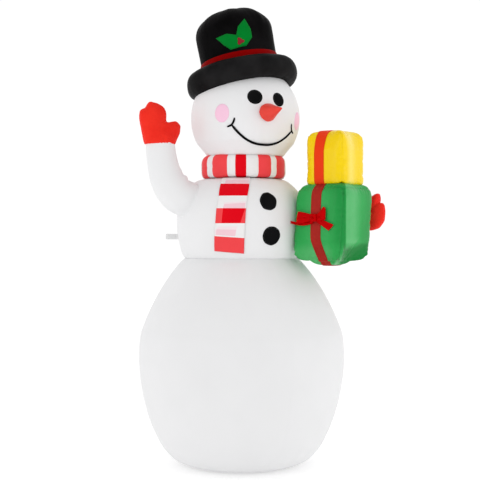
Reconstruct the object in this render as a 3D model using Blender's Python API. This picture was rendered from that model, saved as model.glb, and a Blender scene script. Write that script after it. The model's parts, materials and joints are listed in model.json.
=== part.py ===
"""Inflatable yard snowman, 2.4 m class: fabric lobes kept up by a blower, with hat, scarf and gifts.

Metres, +Z up. The origin is the centre of the flat bottom panel and the face looks along -Y, so +X is
the snowman's left. Fabric lobes are thin shells that open into each other where the air passes. Where
the real fabric bends, a clearance stands in for it: at the waist, the neck and both shoulders.
"""
import math

import bmesh
import bpy
from mathutils import Matrix, Vector

# ---- Driving dimensions ----
GAP = 0.0003  # clearance between touching pieces
FABRIC = 0.002  # wall of the coated fabric with its seam allowance
PATCH = 0.0015  # thickness of a sewn-on patch

BALL_STEPS = 32  # facets round the lower ball and the torso, which nest at the waist
BALL_OUTLINE = [(0.282, 0.0), (0.42, 0.10), (0.496, 0.2885), (0.5355, 0.55), (0.5066, 0.7295),
                (0.4148, 0.9185), (0.309, 1.050)]
BALL_RADIUS = 0.5355
LOBE_STEPS = 28  # facets round the head, the hat and the scarf
WAIST = Vector((0, 0, 1.066))  # pivot of the sway
WAIST_BALL = 0.2918  # the torso's skirt is a zone of this sphere
WAIST_LIP = 0.2935  # inner edge of the ball's rim round that skirt
SKIRT_DROP = 0.038
SKIRT_RISE = 0.0135

TORSO_OUTLINE = [(0.3025, 1.0815), (0.328, 1.145), (0.3386, 1.215), (0.3386, 1.30), (0.312, 1.385),
                 (0.262, 1.442), (0.220, 1.466), (0.150, 1.474), (0.085, 1.478)]
TORSO_RADIUS = 0.3386

HEAD = Vector((0, -0.047, 1.79))
HEAD_RADIUS = 0.283
NECK = Vector((0, -0.022, 1.538))  # pivot of the nod, at the scarf's centre
NECK_RADIUS = 0.065
NECK_END = 1.505
CHIN_TILT = math.radians(-37)  # latitude where the head's underside begins
FACE_TURN = math.radians(-3.5)
FACE_ROLL = math.radians(3.0)

SCARF_RADIUS = 0.163  # to the middle of the puffed ring
SCARF_PUFF = (0.060, 0.058)  # half width and half height of its section

HAT_SEAT = Vector((-0.0104, -0.0283, 1.998))  # centre of the brim
HAT_AXIS = Vector((-0.1278, 0.1402, 1.0)).normalized()
BRIM_RADIUS = 0.225
BRIM_PUFF = 0.065
CROWN_RADIUS = 0.199
CROWN_LOW = 0.0605
BAND_TOP = 0.101

RIGHT_SHOULDER = Vector((-0.300, 0.0, 1.366))
LEFT_SHOULDER = Vector((0.300, 0.020, 1.330))
ARMHOLE = 0.102
ARM_STEPS = 14

GIFT_YAW = math.radians(-62.8)
GREEN_CENTRE = (0.3405, -0.3777)
GREEN_HALF = 0.136
GREEN_Z = (1.075, 1.425)
GREEN_PUFFS = (0.014, 0.018, 0.036)  # crowns of the sides, the top and the bottom
YELLOW_CENTRE = (0.3503, -0.3825)
YELLOW_HALF = 0.102
YELLOW_Z = (1.4445, 1.700)
YELLOW_PUFFS = (0.010, 0.015, 0.0)
RIBBON_WIDTH = 0.060
RIBBON_OFFSET = -0.0135

BLOWER_Z = 0.17
BLOWER_STEPS = 28
SLEEVE = (0.0886, 0.0906)  # inner and outer radius of the blower's fabric sleeve
PORT_RADIUS = 0.0912
DUCT = (0.0830, 0.0880)
FLANGE_RADIUS = 0.100
SCREW_CIRCLE = 0.093
SCREW_COUNT = 4
SHAFT_RADIUS = 0.0024
BLADE_COUNT = 7

ZIP_Z = 0.55
ZIP_HALF_TURN = math.radians(22.5)
SLIDER_TURN = math.radians(-18)
PULL_RADIUS = 0.5429  # from the ball's axis to the middle of the pull's bar

LAMP_HEIGHT = 0.010


# ---- Shared makers ----
def finish(name, colour, roughness, metallic=0.0):
    """A Principled material."""
    material = bpy.data.materials.new(name)
    material.use_nodes = True
    shader = material.node_tree.nodes["Principled BSDF"]
    shader.inputs["Base Color"].default_value = (*colour, 1)
    shader.inputs["Roughness"].default_value = roughness
    shader.inputs["Metallic"].default_value = metallic
    return material


def add(name, bm, material, wall=0.0, outward=False):
    """Link a mesh as a named object; a wall turns an open surface into a shell."""
    bm.normal_update()
    mesh = bpy.data.meshes.new(name)
    bm.to_mesh(mesh)
    bm.free()
    mesh.shade_smooth()
    mesh.set_sharp_from_angle(angle=math.radians(40))
    mesh.materials.append(material)
    obj = bpy.data.objects.new(name, mesh)
    bpy.context.scene.collection.objects.link(obj)
    if wall:
        skin = obj.modifiers.new("wall", "SOLIDIFY")
        skin.thickness = wall
        skin.offset = 1 if outward else -1
        skin.use_even_offset = True
    return obj


def combine(obj, helper, operation):
    """Boolean of an object with a hidden helper."""
    helper.hide_render = True
    helper.display_type = "WIRE"
    change = obj.modifiers.new(operation.lower(), "BOOLEAN")
    change.operation = operation
    change.object = helper


def cut(obj, cutter):
    combine(obj, cutter, "DIFFERENCE")


def join(obj, helper):
    combine(obj, helper, "UNION")


def smooth(points, spans):
    """A Catmull-Rom curve through the points, in `spans` steps between each two."""
    knots = [Vector(point) for point in points]
    knots = [2 * knots[0] - knots[1], *knots, 2 * knots[-1] - knots[-2]]
    curve = []
    for i in range(1, len(knots) - 2):
        a, b, c, d = knots[i - 1:i + 3]
        for k in range(spans):
            t = k / spans
            bend = (2 * a - 5 * b + 4 * c - d) * t ** 2 + (3 * b - a - 3 * c + d) * t ** 3
            curve.append((2 * b + (c - a) * t + bend) / 2)
    curve.append(knots[-2])
    return curve


def circle(steps, start=0.0):
    return [start + 2 * math.pi * i / steps for i in range(steps)]


def skin_rings(bm, rings, closed=False):
    """Join rings of vertices, which turn anticlockwise about the way the rings advance."""
    pairs = list(zip(rings, rings[1:]))
    if closed:
        pairs.append((rings[-1], rings[0]))
    for low, high in pairs:
        count = max(len(low), len(high))
        for i in range(count):
            j = (i + 1) % count
            if len(low) == 1:
                bm.faces.new((low[0], high[j], high[i]))
            elif len(high) == 1:
                bm.faces.new((low[i], low[j], high[0]))
            else:
                bm.faces.new((low[i], low[j], high[j], high[i]))


def turned(outline, steps, frame=Matrix(), closed=False):
    """Turn (radius, height) points about the frame's Z; the outer side runs from bottom to top."""
    bm = bmesh.new()
    rings = []
    for radius, height in outline:
        turns = circle(steps) if radius else [0.0]
        spots = [Vector((radius * math.cos(a), radius * math.sin(a), height)) for a in turns]
        rings.append([bm.verts.new(frame @ spot) for spot in spots])
    skin_rings(bm, rings, closed)
    return bm


def tube(path, radii, steps, capped=False):
    """A round tube along a path of points."""
    bm = bmesh.new()
    rings = []
    side = None
    last = len(path) - 1
    for i, point in enumerate(path):
        ahead = (path[min(i + 1, last)] - path[max(i - 1, 0)]).normalized()
        side = ahead.orthogonal() if side is None else side
        side = (side - ahead * side.dot(ahead)).normalized()
        up = ahead.cross(side)
        spots = [point + radii[i] * (side * math.cos(a) + up * math.sin(a)) for a in circle(steps)]
        rings.append([bm.verts.new(spot) for spot in spots])
    skin_rings(bm, rings)
    if capped:
        bm.faces.new(list(reversed(rings[0])))
        bm.faces.new(rings[-1])
    return bm


def patch(outline, place, middle, rings=2):
    """A flat outline, anticlockwise from outside, laid on a surface by place(u, v)."""
    bm = bmesh.new()
    centre = Vector(middle)
    loops = [[bm.verts.new(place(*centre))]]
    for k in range(1, rings + 1):
        spots = [centre.lerp(Vector(point), k / rings) for point in outline]
        loops.append([bm.verts.new(place(*spot)) for spot in spots])
    for low, high in zip(loops, loops[1:]):
        count = len(high)
        for i in range(count):
            j = (i + 1) % count
            if len(low) == 1:
                bm.faces.new((low[0], high[i], high[j]))
            else:
                bm.faces.new((low[i], high[i], high[j], low[j]))
    return bm


def strip(columns, rows, place):
    """A grid laid on a surface by place(u, v); columns run to the right and rows run up."""
    bm = bmesh.new()
    grid = [[bm.verts.new(place(u, v)) for u in columns] for v in rows]
    for low, high in zip(grid, grid[1:]):
        for i in range(len(columns) - 1):
            bm.faces.new((low[i], low[i + 1], high[i + 1], high[i]))
    return bm


def divided(outline, step):
    """The same outline with extra points, so that no side is longer than the step."""
    points = []
    for start, end in zip(outline, [*outline[1:], outline[0]]):
        a, b = Vector(start), Vector(end)
        count = math.ceil((b - a).length / step)
        points += [a.lerp(b, k / count) for k in range(count)]
    return points


def disc(radius, count):
    return [(radius * math.cos(a), radius * math.sin(a)) for a in circle(count)]


def arc_bar(radii, heights, angles):
    """A bar of rectangular section bent about the Z axis; angles are measured from +Y."""
    bm = bmesh.new()
    section = [(radii[0], heights[0]), (radii[1], heights[0]), (radii[1], heights[1]),
               (radii[0], heights[1])]
    rings = []
    for a in angles:
        spots = [(-r * math.sin(a), r * math.cos(a), z) for r, z in section]
        rings.append([bm.verts.new(spot) for spot in reversed(spots)])
    skin_rings(bm, rings)
    bm.faces.new(list(reversed(rings[0])))
    bm.faces.new(rings[-1])
    return bm


def ring_prism(outer, inner, low, high, frame):
    """Two outlines with the same count of points, extruded as a closed loop with an eye."""
    bm = bmesh.new()
    layers = []
    for outline, z in ((outer, low), (outer, high), (inner, high), (inner, low)):
        layers.append([bm.verts.new(frame @ Vector((x, y, z))) for x, y in outline])
    skin_rings(bm, layers, closed=True)
    return bm


def wheel(radii, open_bands, spokes, spoke_turn, low, high, frame, fill):
    """A round plate with annular slots; radii start at the hub, `fill` facets between two spokes."""
    sector = 2 * math.pi / spokes
    angles = []
    for s in range(spokes):
        start = s * sector
        angles.append(start)
        step = (sector - spoke_turn) / fill
        angles += [start + spoke_turn + step * k for k in range(fill)]
    bm = bmesh.new()
    loops = []
    for radius in radii:
        turns = angles if radius else [0.0]
        spots = [Vector((radius * math.cos(a), radius * math.sin(a), low)) for a in turns]
        loops.append([bm.verts.new(frame @ spot) for spot in spots])
    count = len(angles)
    for band, (inner, outer) in enumerate(zip(loops, loops[1:])):
        for i in range(count):
            if band in open_bands and i % (fill + 1):
                continue
            j = (i + 1) % count
            if len(inner) == 1:
                bm.faces.new((inner[0], outer[j], outer[i]))
            else:
                bm.faces.new((inner[j], outer[j], outer[i], inner[i]))
    plate = bmesh.ops.extrude_face_region(bm, geom=bm.faces[:])
    lift = frame.to_3x3() @ Vector((0, 0, high - low))
    moved = [item for item in plate["geom"] if isinstance(item, bmesh.types.BMVert)]
    bmesh.ops.translate(bm, vec=lift, verts=moved)
    bmesh.ops.recalc_face_normals(bm, faces=bm.faces[:])
    return bm


def pivot(name, spot, parent=None):
    """An empty on a joint's axis, which remembers where it stands."""
    empty = bpy.data.objects.new(name, None)
    bpy.context.scene.collection.objects.link(empty)
    empty.location = spot
    empty["spot"] = spot
    if parent:
        hang(parent, empty)
    return empty


def hang(parent, *pieces):
    """Parent pieces to an empty and keep them where they are."""
    for piece in pieces:
        piece.parent = parent
        piece.matrix_parent_inverse = Matrix.Translation(-Vector(parent["spot"]))


# ---- Surfaces that patches are laid on ----
def on_outline(outline, z):
    """Radius and outward normal of a turned lobe at height z."""
    for (r0, z0), (r1, z1) in zip(outline, outline[1:]):
        if z0 <= z <= z1:
            t = (z - z0) / (z1 - z0)
            slope = Vector((z1 - z0, r0 - r1)).normalized()
            return r0 + (r1 - r0) * t, slope
    raise ValueError("height is off the lobe")


def torso_spot(azimuth, z, lift):
    """A point over the torso; the azimuth runs from the front towards +X."""
    radius, slope = on_outline(TORSO_OUTLINE, z)
    reach = radius + lift * slope.x
    return Vector((reach * math.sin(azimuth), -reach * math.cos(azimuth), z + lift * slope.y))


def face_spot(azimuth, latitude, lift):
    """A point over the head in the frame of the face."""
    reach = HEAD_RADIUS + lift
    flat = reach * math.cos(latitude)
    return FACE @ Vector((flat * math.sin(azimuth), -flat * math.cos(azimuth), reach * math.sin(latitude)))


def face_patch_spot(azimuth, latitude, lift):
    """Maker of place(u, v) for a patch on the face centred at the given angles."""
    aim = Matrix.Rotation(azimuth, 4, "Z") @ Matrix.Rotation(-latitude, 4, "X")

    def place(u, v):
        flat = Vector((u, -HEAD_RADIUS, v)).normalized() * (HEAD_RADIUS + lift)
        return FACE @ aim @ flat
    return place


def crown_spot(u, v, lift):
    """A point over the hat's crown; u is the arc length from the front."""
    a = u / CROWN_RADIUS
    reach = CROWN_RADIUS + lift
    return HAT @ Vector((reach * math.sin(a), -reach * math.cos(a), v))


FACE = (Matrix.Translation(HEAD) @ Matrix.Rotation(FACE_ROLL, 4, "Y")
        @ Matrix.Rotation(FACE_TURN, 4, "Z"))
HAT_SIDE = Vector((0, 1, 0)).cross(HAT_AXIS).normalized()
HAT_TURN = Matrix((HAT_SIDE, HAT_AXIS.cross(HAT_SIDE), HAT_AXIS)).transposed()
HAT = Matrix.Translation(HAT_SEAT) @ HAT_TURN.to_4x4()
BLOWER = Matrix.Translation((0, 0, BLOWER_Z)) @ Matrix.Rotation(math.radians(-90), 4, "X")


# ---- Lower ball ----
def lower_body(white):
    outline = [*smooth(BALL_OUTLINE, 2), Vector((WAIST_LIP, 1.052))]
    body = add("lower_body", turned(outline, BALL_STEPS), white, FABRIC)
    port = [(0, 0.36), (PORT_RADIUS, 0.36), (PORT_RADIUS, 0.60), (0, 0.60)]
    cut(body, add("blower_port", turned(port, BLOWER_STEPS, BLOWER), white))
    panel = [(0, 0), (0.2797, 0), (0.2797, FABRIC), (0, FABRIC)]
    add("base_panel", turned(panel, BALL_STEPS), white)


def ballast_bag(sand):
    low = FABRIC + GAP
    outline = [(0, low), (0.10, low), (0.13, 0.014), (0.13, 0.030), (0.10, 0.040), (0, 0.043)]
    add("ballast_bag", turned(outline, 20), sand)


# ---- Blower ----
def blower_case(fabric, plastic):
    sleeve = [(SLEEVE[0], 0.385), (SLEEVE[1], 0.385), (SLEEVE[1], 0.508), (SLEEVE[0], 0.508)]
    add("blower_sleeve", turned(sleeve, BLOWER_STEPS, BLOWER, closed=True), fabric)
    ring = [(0.0910, 0.489), (0.0945, 0.489), (0.0945, 0.505), (0.0910, 0.505)]
    add("clamp_ring", turned(ring, BLOWER_STEPS, BLOWER, closed=True), plastic)
    case = [(DUCT[0], 0.395), (DUCT[1], 0.395), (DUCT[1], 0.510), (FLANGE_RADIUS, 0.510),
            (FLANGE_RADIUS, 0.530), (DUCT[0], 0.530)]
    return add("blower_housing", turned(case, BLOWER_STEPS, BLOWER, closed=True), plastic)


def intake_grille(plastic):
    radii = [0, 0.014]
    while radii[-1] < 0.069:
        radii += [radii[-1] + 0.008, radii[-1] + 0.012]
    radii[-1] = FLANGE_RADIUS
    slots = range(1, len(radii) - 1, 2)
    plate = wheel(radii, slots, 4, math.radians(6), 0.5303, 0.5333, BLOWER, 2)
    return add("intake_grille", plate, plastic)


def screw_cutters(plastic):
    """One hidden cutter with the four screw holes."""
    bm = bmesh.new()
    hole = [(0, 0.518), (0.0017, 0.518), (0.0017, 0.540), (0, 0.540)]
    for spot in screw_spots():
        part = turned(hole, 8, BLOWER @ Matrix.Translation(spot))
        mesh = bpy.data.meshes.new("screw_hole")
        part.to_mesh(mesh)
        part.free()
        bm.from_mesh(mesh)
        bpy.data.meshes.remove(mesh)
    return add("screw_holes", bm, plastic)


def screw_spots():
    angles = circle(SCREW_COUNT, math.radians(45))
    return [Vector((SCREW_CIRCLE * math.cos(a), SCREW_CIRCLE * math.sin(a), 0)) for a in angles]


def grille_screws(steel):
    outline = [(0, 0.520), (0.0014, 0.520), (0.0014, 0.5336), (0.0035, 0.5336), (0.0030, 0.5352),
               (0, 0.5352)]
    for i, spot in enumerate(screw_spots()):
        add(f"grille_screw_{i + 1}", turned(outline, 8, BLOWER @ Matrix.Translation(spot)), steel)


def blower_inside(plastic, steel):
    can = [(0, 0.424), (0.020, 0.424), (0.022, 0.426), (0.022, 0.470), (0.0032, 0.470),
           (0.0032, 0.4295), (0, 0.4295)]
    add("motor", turned(can, 20, BLOWER), steel)
    arms = wheel([0.0236, 0.029, 0.077, 0.0818], [1], 3, math.radians(12), 0.440, 0.446, BLOWER, 4)
    add("motor_mount", arms, plastic)
    inlet_top = BLOWER_Z - FLANGE_RADIUS - GAP
    down = Matrix.Translation((0, 0.520, inlet_top)) @ Matrix.Rotation(math.pi, 4, "X")
    socket = [(0, 0), (0.0085, 0), (0.0085, 0.006), (0.0066, 0.008), (0.0066, 0.018), (0.0042, 0.018),
              (0.0042, 0.006), (0, 0.006)]
    add("power_inlet", turned(socket, 16, down), plastic)


def impeller(plastic, steel):
    """Seven twisted blades on a hub, pressed on the motor's shaft."""
    hub, tip, low, high, twist, layers = 0.026, 0.079, 0.478, 0.500, math.radians(24), 3
    blade = [(-0.09, hub), (-0.035, tip), (0.035, tip), (0.09, hub)]
    outline = [(a + turn, radius) for a in circle(BLADE_COUNT) for turn, radius in blade]
    bm = bmesh.new()
    rings = []
    for k in range(layers):
        t = k / (layers - 1)
        height = low + (high - low) * t
        spots = [(r * math.cos(a + twist * t), r * math.sin(a + twist * t), height) for a, r in outline]
        rings.append([bm.verts.new(BLOWER @ Vector(spot)) for spot in spots])
    skin_rings(bm, rings)
    bm.faces.new(list(reversed(rings[0])))
    bm.faces.new(rings[-1])
    wheel_part = add("impeller", bm, plastic)
    bore = [(0, low - 0.01), (SHAFT_RADIUS + GAP, low - 0.01), (SHAFT_RADIUS + GAP, high + 0.01),
            (0, high + 0.01)]
    cut(wheel_part, add("impeller_bore", turned(bore, 10, BLOWER), plastic))
    rod = [(0, 0.430), (SHAFT_RADIUS, 0.430), (SHAFT_RADIUS, 0.499), (0, 0.499)]
    shaft = add("motor_shaft", turned(rod, 10, BLOWER), steel)
    hang(pivot("impeller_axis", Vector((0, 0.489, BLOWER_Z))), wheel_part, shaft)


def blower(fabric, plastic, steel):
    case = blower_case(fabric, plastic)
    grille = intake_grille(plastic)
    holes = screw_cutters(plastic)
    cut(case, holes)
    cut(grille, holes)
    grille_screws(steel)
    blower_inside(plastic, steel)
    impeller(plastic, steel)


# ---- Zipper at the back ----
def zipper(tape_finish, nylon):
    tape_low = BALL_RADIUS + GAP
    tape_high = tape_low + 0.001
    facets = 4
    angles = [ZIP_HALF_TURN * (2 * k / facets - 1) for k in range(facets + 1)]
    tape = arc_bar((tape_low, tape_high), (ZIP_Z - 0.015, ZIP_Z + 0.015), angles)
    add("zipper_tape", tape, tape_finish)
    teeth = 16
    reach = math.radians(19.5)
    angles = [reach * (2 * k / teeth - 1) for k in range(teeth + 1)]
    chain = arc_bar((0.5372, 0.5388), (ZIP_Z - 0.003, ZIP_Z + 0.003), angles)
    add("zipper_chain", chain, nylon)
    turn = Matrix.Rotation(SLIDER_TURN, 4, "Z")
    slider = add("zipper_slider", slider_mesh(turn), nylon)
    pull = add("zipper_pull", pull_mesh(turn), nylon)
    hang(pivot("zipper_axis", Vector((0, 0, ZIP_Z))), slider)
    bar = turn @ Vector((0, PULL_RADIUS, ZIP_Z))
    hang(pivot("zipper_pull_axis", bar, bpy.data.objects["zipper_axis"]), pull)


def slider_mesh(turn):
    """A plate with an arch over the pull's bar, extruded along Z."""
    frame = turn @ Matrix.Translation((0, PULL_RADIUS, ZIP_Z))
    outer = [(-0.0060, -0.0034), (0.0060, -0.0034), (0.0060, -0.0018), (0.0032, -0.0016),
             (0.0032, 0.0026), (-0.0032, 0.0026), (-0.0032, -0.0016), (-0.0060, -0.0018)]
    inner = [(-0.0022, -0.0016), (0.0022, -0.0016), (0.0022, -0.0012), (0.0022, -0.0004),
             (0.0022, 0.0016), (-0.0022, 0.0016), (-0.0022, -0.0004), (-0.0022, -0.0012)]
    return ring_prism(outer, inner, -0.0045, 0.0045, frame)


def pull_mesh(turn):
    """A flat tab with a window, whose end bar sits under the slider's arch."""
    lay = Matrix.Rotation(math.radians(90), 4, "X")
    frame = turn @ Matrix.Translation((0, PULL_RADIUS, ZIP_Z)) @ lay
    outer = [(-0.0008, -0.0065), (0.020, -0.0065), (0.026, -0.003), (0.026, 0.003), (0.020, 0.0065),
             (-0.0008, 0.0065)]
    inner = [(0.0008, -0.0050), (0.0048, -0.0050), (0.0052, -0.002), (0.0052, 0.002), (0.0048, 0.0050),
             (0.0008, 0.0050)]
    return ring_prism(outer, inner, -0.0008, 0.0008, frame)


# ---- Lamps on the inside of the wall ----
def lamps(plastic, clear):
    spots = {"lower": (Vector((0, 0, ZIP_Z)), math.radians(140), 0.5275),
             "torso": (Vector((0, 0, 1.258)), math.radians(180), 0.3340),
             "head": (HEAD, math.radians(180), 0.2750)}
    foot = [(0, 0), (0.018, 0), (0.018, 0.004), (0.014, LAMP_HEIGHT), (0, LAMP_HEIGHT)]
    low = LAMP_HEIGHT + GAP
    dome = [(0, low), (0.013, low), (0.0115, low + 0.006), (0.006, low + 0.010), (0, low + 0.0115)]
    for name, (centre, azimuth, reach) in spots.items():
        aim = Matrix.Rotation(azimuth, 4, "Z") @ Matrix.Rotation(math.radians(-90), 4, "X")
        frame = Matrix.Translation(centre) @ aim @ Matrix.Translation((0, 0, -reach))
        base = add(f"lamp_base_{name}", turned(foot, 12, frame), plastic)
        lens = add(f"lamp_lens_{name}", turned(dome, 12, frame), clear)
        if name != "lower":
            hang(bpy.data.objects["waist_pivot" if name == "torso" else "neck_pivot"], base, lens)


# ---- Torso ----
def torso(white):
    skirt = [(math.sqrt(WAIST_BALL ** 2 - rise ** 2), WAIST.z + rise)
             for rise in (-SKIRT_DROP, -SKIRT_DROP / 3, SKIRT_RISE)]
    outline = [*skirt, *TORSO_OUTLINE]
    body = add("torso", turned(outline, BALL_STEPS), white, FABRIC)
    for name, shoulder, way in (("right", RIGHT_SHOULDER, Vector((-1, 0, -0.1))),
                                ("left", LEFT_SHOULDER, Vector((1, -0.1, 0)))):
        aim = way.to_track_quat("Z", "Y").to_matrix().to_4x4()
        hole = [(0, -0.13), (ARMHOLE, -0.13), (ARMHOLE, 0.13), (0, 0.13)]
        cut(body, add(f"armhole_{name}", turned(hole, 24, Matrix.Translation(shoulder) @ aim), white))
    return body


def scarf_ring(red):
    centre = Matrix.Translation(NECK)
    sweep = [math.radians(-150 + 300 * k / 7) for k in range(8)]
    outline = [(SCARF_RADIUS + SCARF_PUFF[0] * math.cos(a), SCARF_PUFF[1] * math.sin(a)) for a in sweep]
    return add("scarf_ring", turned(outline, LOBE_STEPS, centre), red, FABRIC)


def scarf_tails(red):
    """Two sheer strips that hang over the chest, one over the other."""
    rows = [1.464, 1.442, 1.4135, 1.385, 1.3425, 1.30, 1.2575, 1.215, 1.145, 1.096]
    tails = []
    for name, lift, turn, width in (("under", 0.006, -33.5, 0.125), ("over", 0.012, -34.5, 0.147)):
        half = width / 2 / TORSO_RADIUS
        centre = math.radians(turn)
        columns = [centre + half * side for side in (-1, -1 / 3, 1 / 3, 1)]
        bm = strip(columns, rows, lambda a, z, lift=lift: torso_spot(a, z, lift))
        tails.append(add(f"scarf_tail_{name}", bm, red, PATCH, outward=True))
    return tails


def buttons(black):
    made = []
    for name, turn, height, radius in (("upper", -1.9, 1.352, 0.0440), ("lower", 0.6, 1.180, 0.0465)):
        middle = (math.radians(turn) * TORSO_RADIUS, height)
        outline = [(middle[0] + u, middle[1] + v) for u, v in disc(radius, 16)]
        bm = patch(outline, lambda u, v: torso_spot(u / TORSO_RADIUS, v, 0.004), middle, 3)
        made.append(add(f"button_{name}", bm, black, 0.003, outward=True))
    return made


def tether_tabs(webbing, waist):
    """Loops of folded webbing sewn into the torso's side seams."""
    half_outer = [(0.0, 0.0034), (0.013, 0.0036), (0.034, 0.0070), (0.050, 0.0068)]
    half_inner = [(0.014, 0.0004), (0.022, 0.0024), (0.034, 0.0053), (0.050, 0.0051)]
    outer = [*half_outer, (0.057, 0.0), *[(x, -y) for x, y in reversed(half_outer)]]
    inner = [*half_inner, (0.0552, 0.0), *[(x, -y) for x, y in reversed(half_inner)]]
    for name, side in (("right", -1), ("left", 1)):
        out = Vector((0.899 * side, 0.438, 0))
        spot = out * (TORSO_RADIUS + 0.001) + Vector((0, 0, 1.178))
        turn = Matrix.Rotation(math.atan2(out.y, out.x), 4, "Z")
        bm = ring_prism(list(reversed(outer)), list(reversed(inner)), -0.0145, 0.0145,
                        Matrix.Translation(spot) @ turn)
        tab = add(f"tether_tab_{name}", bm, webbing)
        hang(pivot(f"tether_axis_{name}", spot, waist), tab)


# ---- Head and face ----
def head(white):
    underside = [(NECK_RADIUS, NECK_END), (NECK_RADIUS, 1.598), (0.078, 1.611), (0.15, 1.6155)]
    outline = [(r, z - HEAD.z) for r, z in underside]
    count = 9
    for k in range(count + 1):
        a = CHIN_TILT + (math.radians(84) - CHIN_TILT) * k / count
        outline.append((HEAD_RADIUS * math.cos(a), HEAD_RADIUS * math.sin(a)))
    return add("head", turned(outline, LOBE_STEPS, Matrix.Translation(HEAD)), white, FABRIC)


def eyes_and_cheeks(black, pink):
    made = []
    for name, turn, rise, radius, material in (("eye", 13.6, 15.1, 0.0365, black),
                                               ("cheek", 47.0, -2.6, 0.042, pink)):
        for side, label in ((-1, "right"), (1, "left")):
            place = face_patch_spot(math.radians(turn * side), math.radians(rise), 0.001)
            bm = patch(disc(radius, 16), place, (0, 0))
            made.append(add(f"{name}_{label}", bm, material, PATCH, outward=True))
    return made


def mouth(black):
    """A smile of thin black cord with a short tick across each end, all one piece."""
    reach, low, rise = math.radians(36.3), math.radians(-33.3), math.radians(18.9)
    lift = 0.0065
    path = []
    for k in range(15):
        t = 2 * k / 14 - 1
        path.append(face_spot(reach * t, low + rise * abs(t) ** 2.4, lift))
    line = add("mouth", tube(path, [0.0055] * len(path), 6, capped=True), black)
    tick = [(41.4, -16.4), (36.8, -14.4), (34.4, -11.0), (33.4, -7.2)]
    for side, label in ((-1, "right"), (1, "left")):
        path = [face_spot(math.radians(a * side), math.radians(b), lift) for a, b in tick]
        stroke = add(f"mouth_tick_{label}", tube(path, [0.0047] * len(path), 6, capped=True), black)
        join(line, stroke)
    return [line]


def nose(red):
    low = HEAD_RADIUS + 0.0005
    side = smooth([(0.041, low + 0.012), (0.027, 0.365), (0.011, 0.43)], 2)
    outline = [(0, low), (0.043, low), *side, (0, 0.450)]
    aim = FACE @ Matrix.Rotation(math.radians(90), 4, "X")
    return add("nose", turned(outline, 16, aim), red)


# ---- Hat ----
def hat(black, band_red, leaf_green, berry_red):
    sweep = [math.radians(-56 + 197 * k / 7) for k in range(8)]
    outline = [(BRIM_RADIUS + BRIM_PUFF * math.cos(a), BRIM_PUFF * math.sin(a)) for a in sweep]
    made = [add("hat_brim", turned(outline, LOBE_STEPS, HAT), black, FABRIC)]
    outline = [(CROWN_RADIUS, CROWN_LOW), (CROWN_RADIUS, 0.17),
               *smooth([(CROWN_RADIUS, 0.265), (0.160, 0.325), (0.080, 0.357), (0, 0.366)], 2)]
    made.append(add("hat_crown", turned(outline, LOBE_STEPS, HAT), black, FABRIC))
    low, high = CROWN_LOW + 0.001, BAND_TOP
    ring = [(0.1995, low), (0.2010, low), (0.2010, high), (0.1995, high)]
    made.append(add("hat_band", turned(ring, LOBE_STEPS, HAT, closed=True), band_red))
    leaves = {"right": ([(-0.182, 0.176), (-0.170, 0.148), (-0.158, 0.146), (-0.124, 0.113),
                         (-0.073, 0.119), (-0.089, 0.183), (-0.1325, 0.199)], (-0.115, 0.155)),
              "left": ([(-0.067, 0.120), (-0.044, 0.121), (-0.006, 0.162), (-0.006, 0.204),
                        (-0.029, 0.261), (-0.070, 0.224), (-0.0835, 0.184)], (-0.045, 0.175))}
    for label, (outline, middle) in leaves.items():
        bm = patch(divided(outline, 0.03), lambda u, v: crown_spot(u, v, 0.002), middle, 3)
        made.append(add(f"holly_leaf_{label}", bm, leaf_green, PATCH, outward=True))
    berry = []
    for a in circle(15):
        reach = 0.0135 + 0.0035 * math.cos(3 * a)
        berry.append((-0.068 + reach * math.cos(a), 0.147 + reach * math.sin(a)))
    bm = patch(berry, lambda u, v: crown_spot(u, v, 0.003 + PATCH), (-0.068, 0.147))
    made.append(add("holly_berries", bm, berry_red, PATCH, outward=True))
    return made


# ---- Arms ----
def arm(name, points, radii, white):
    spans = 2
    path = smooth(points, spans)
    sizes = [size.x for size in smooth([(r, 0) for r in radii], spans)]
    return add(name, tube(path, sizes, ARM_STEPS), white, FABRIC)


def mitten(name, frame, length_scale, red):
    """A puffed mitten, open at the wrist; local X runs to the thumb and local Z to the fingertips."""
    outline = [(-0.077, 0.0), (-0.106, 0.138), (-0.096, 0.173), (-0.052, 0.212), (0.0, 0.209),
               (0.030, 0.176), (0.034, 0.110), (0.086, 0.121), (0.106, 0.100), (0.097, 0.038),
               (0.077, 0.0)]
    middle = Vector((-0.020, 0.095))
    half_depth = 0.050
    layers = []
    bm = bmesh.new()
    for part in (-1, -0.65, 0, 0.65, 1):
        shrink = math.sqrt(1 - (0.84 * part) ** 2)
        row = []
        for i, point in enumerate(outline):
            wrist = i in (0, len(outline) - 1)
            base = Vector((0, 0)) if wrist else middle
            spot = base + (Vector(point) - base) * shrink
            row.append(bm.verts.new(frame @ Vector((spot.x, part * half_depth, spot.y * length_scale))))
        layers.append(row)
    for low, high in zip(layers, layers[1:]):
        for i in range(len(outline) - 1):
            bm.faces.new((low[i], high[i], high[i + 1], low[i + 1]))
    bm.faces.new(layers[0])
    bm.faces.new(list(reversed(layers[-1])))
    return add(name, bm, red, FABRIC)


def right_arm(white, red, shoulder):
    points = [(-0.272, 0, 1.360), (-0.335, 0, 1.372), (-0.392, 0, 1.420), (-0.437, 0, 1.515),
              (-0.4578, 0, 1.605), (-0.4588, 0, 1.632)]
    limb = arm("arm_raised", points, [0.080, 0.082, 0.086, 0.080, 0.0755, 0.0755], white)
    hand = mitten("mitten_raised", Matrix.Translation((-0.4588, 0, 1.6430)), 1.0, red)
    hang(shoulder, limb, hand)


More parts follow.
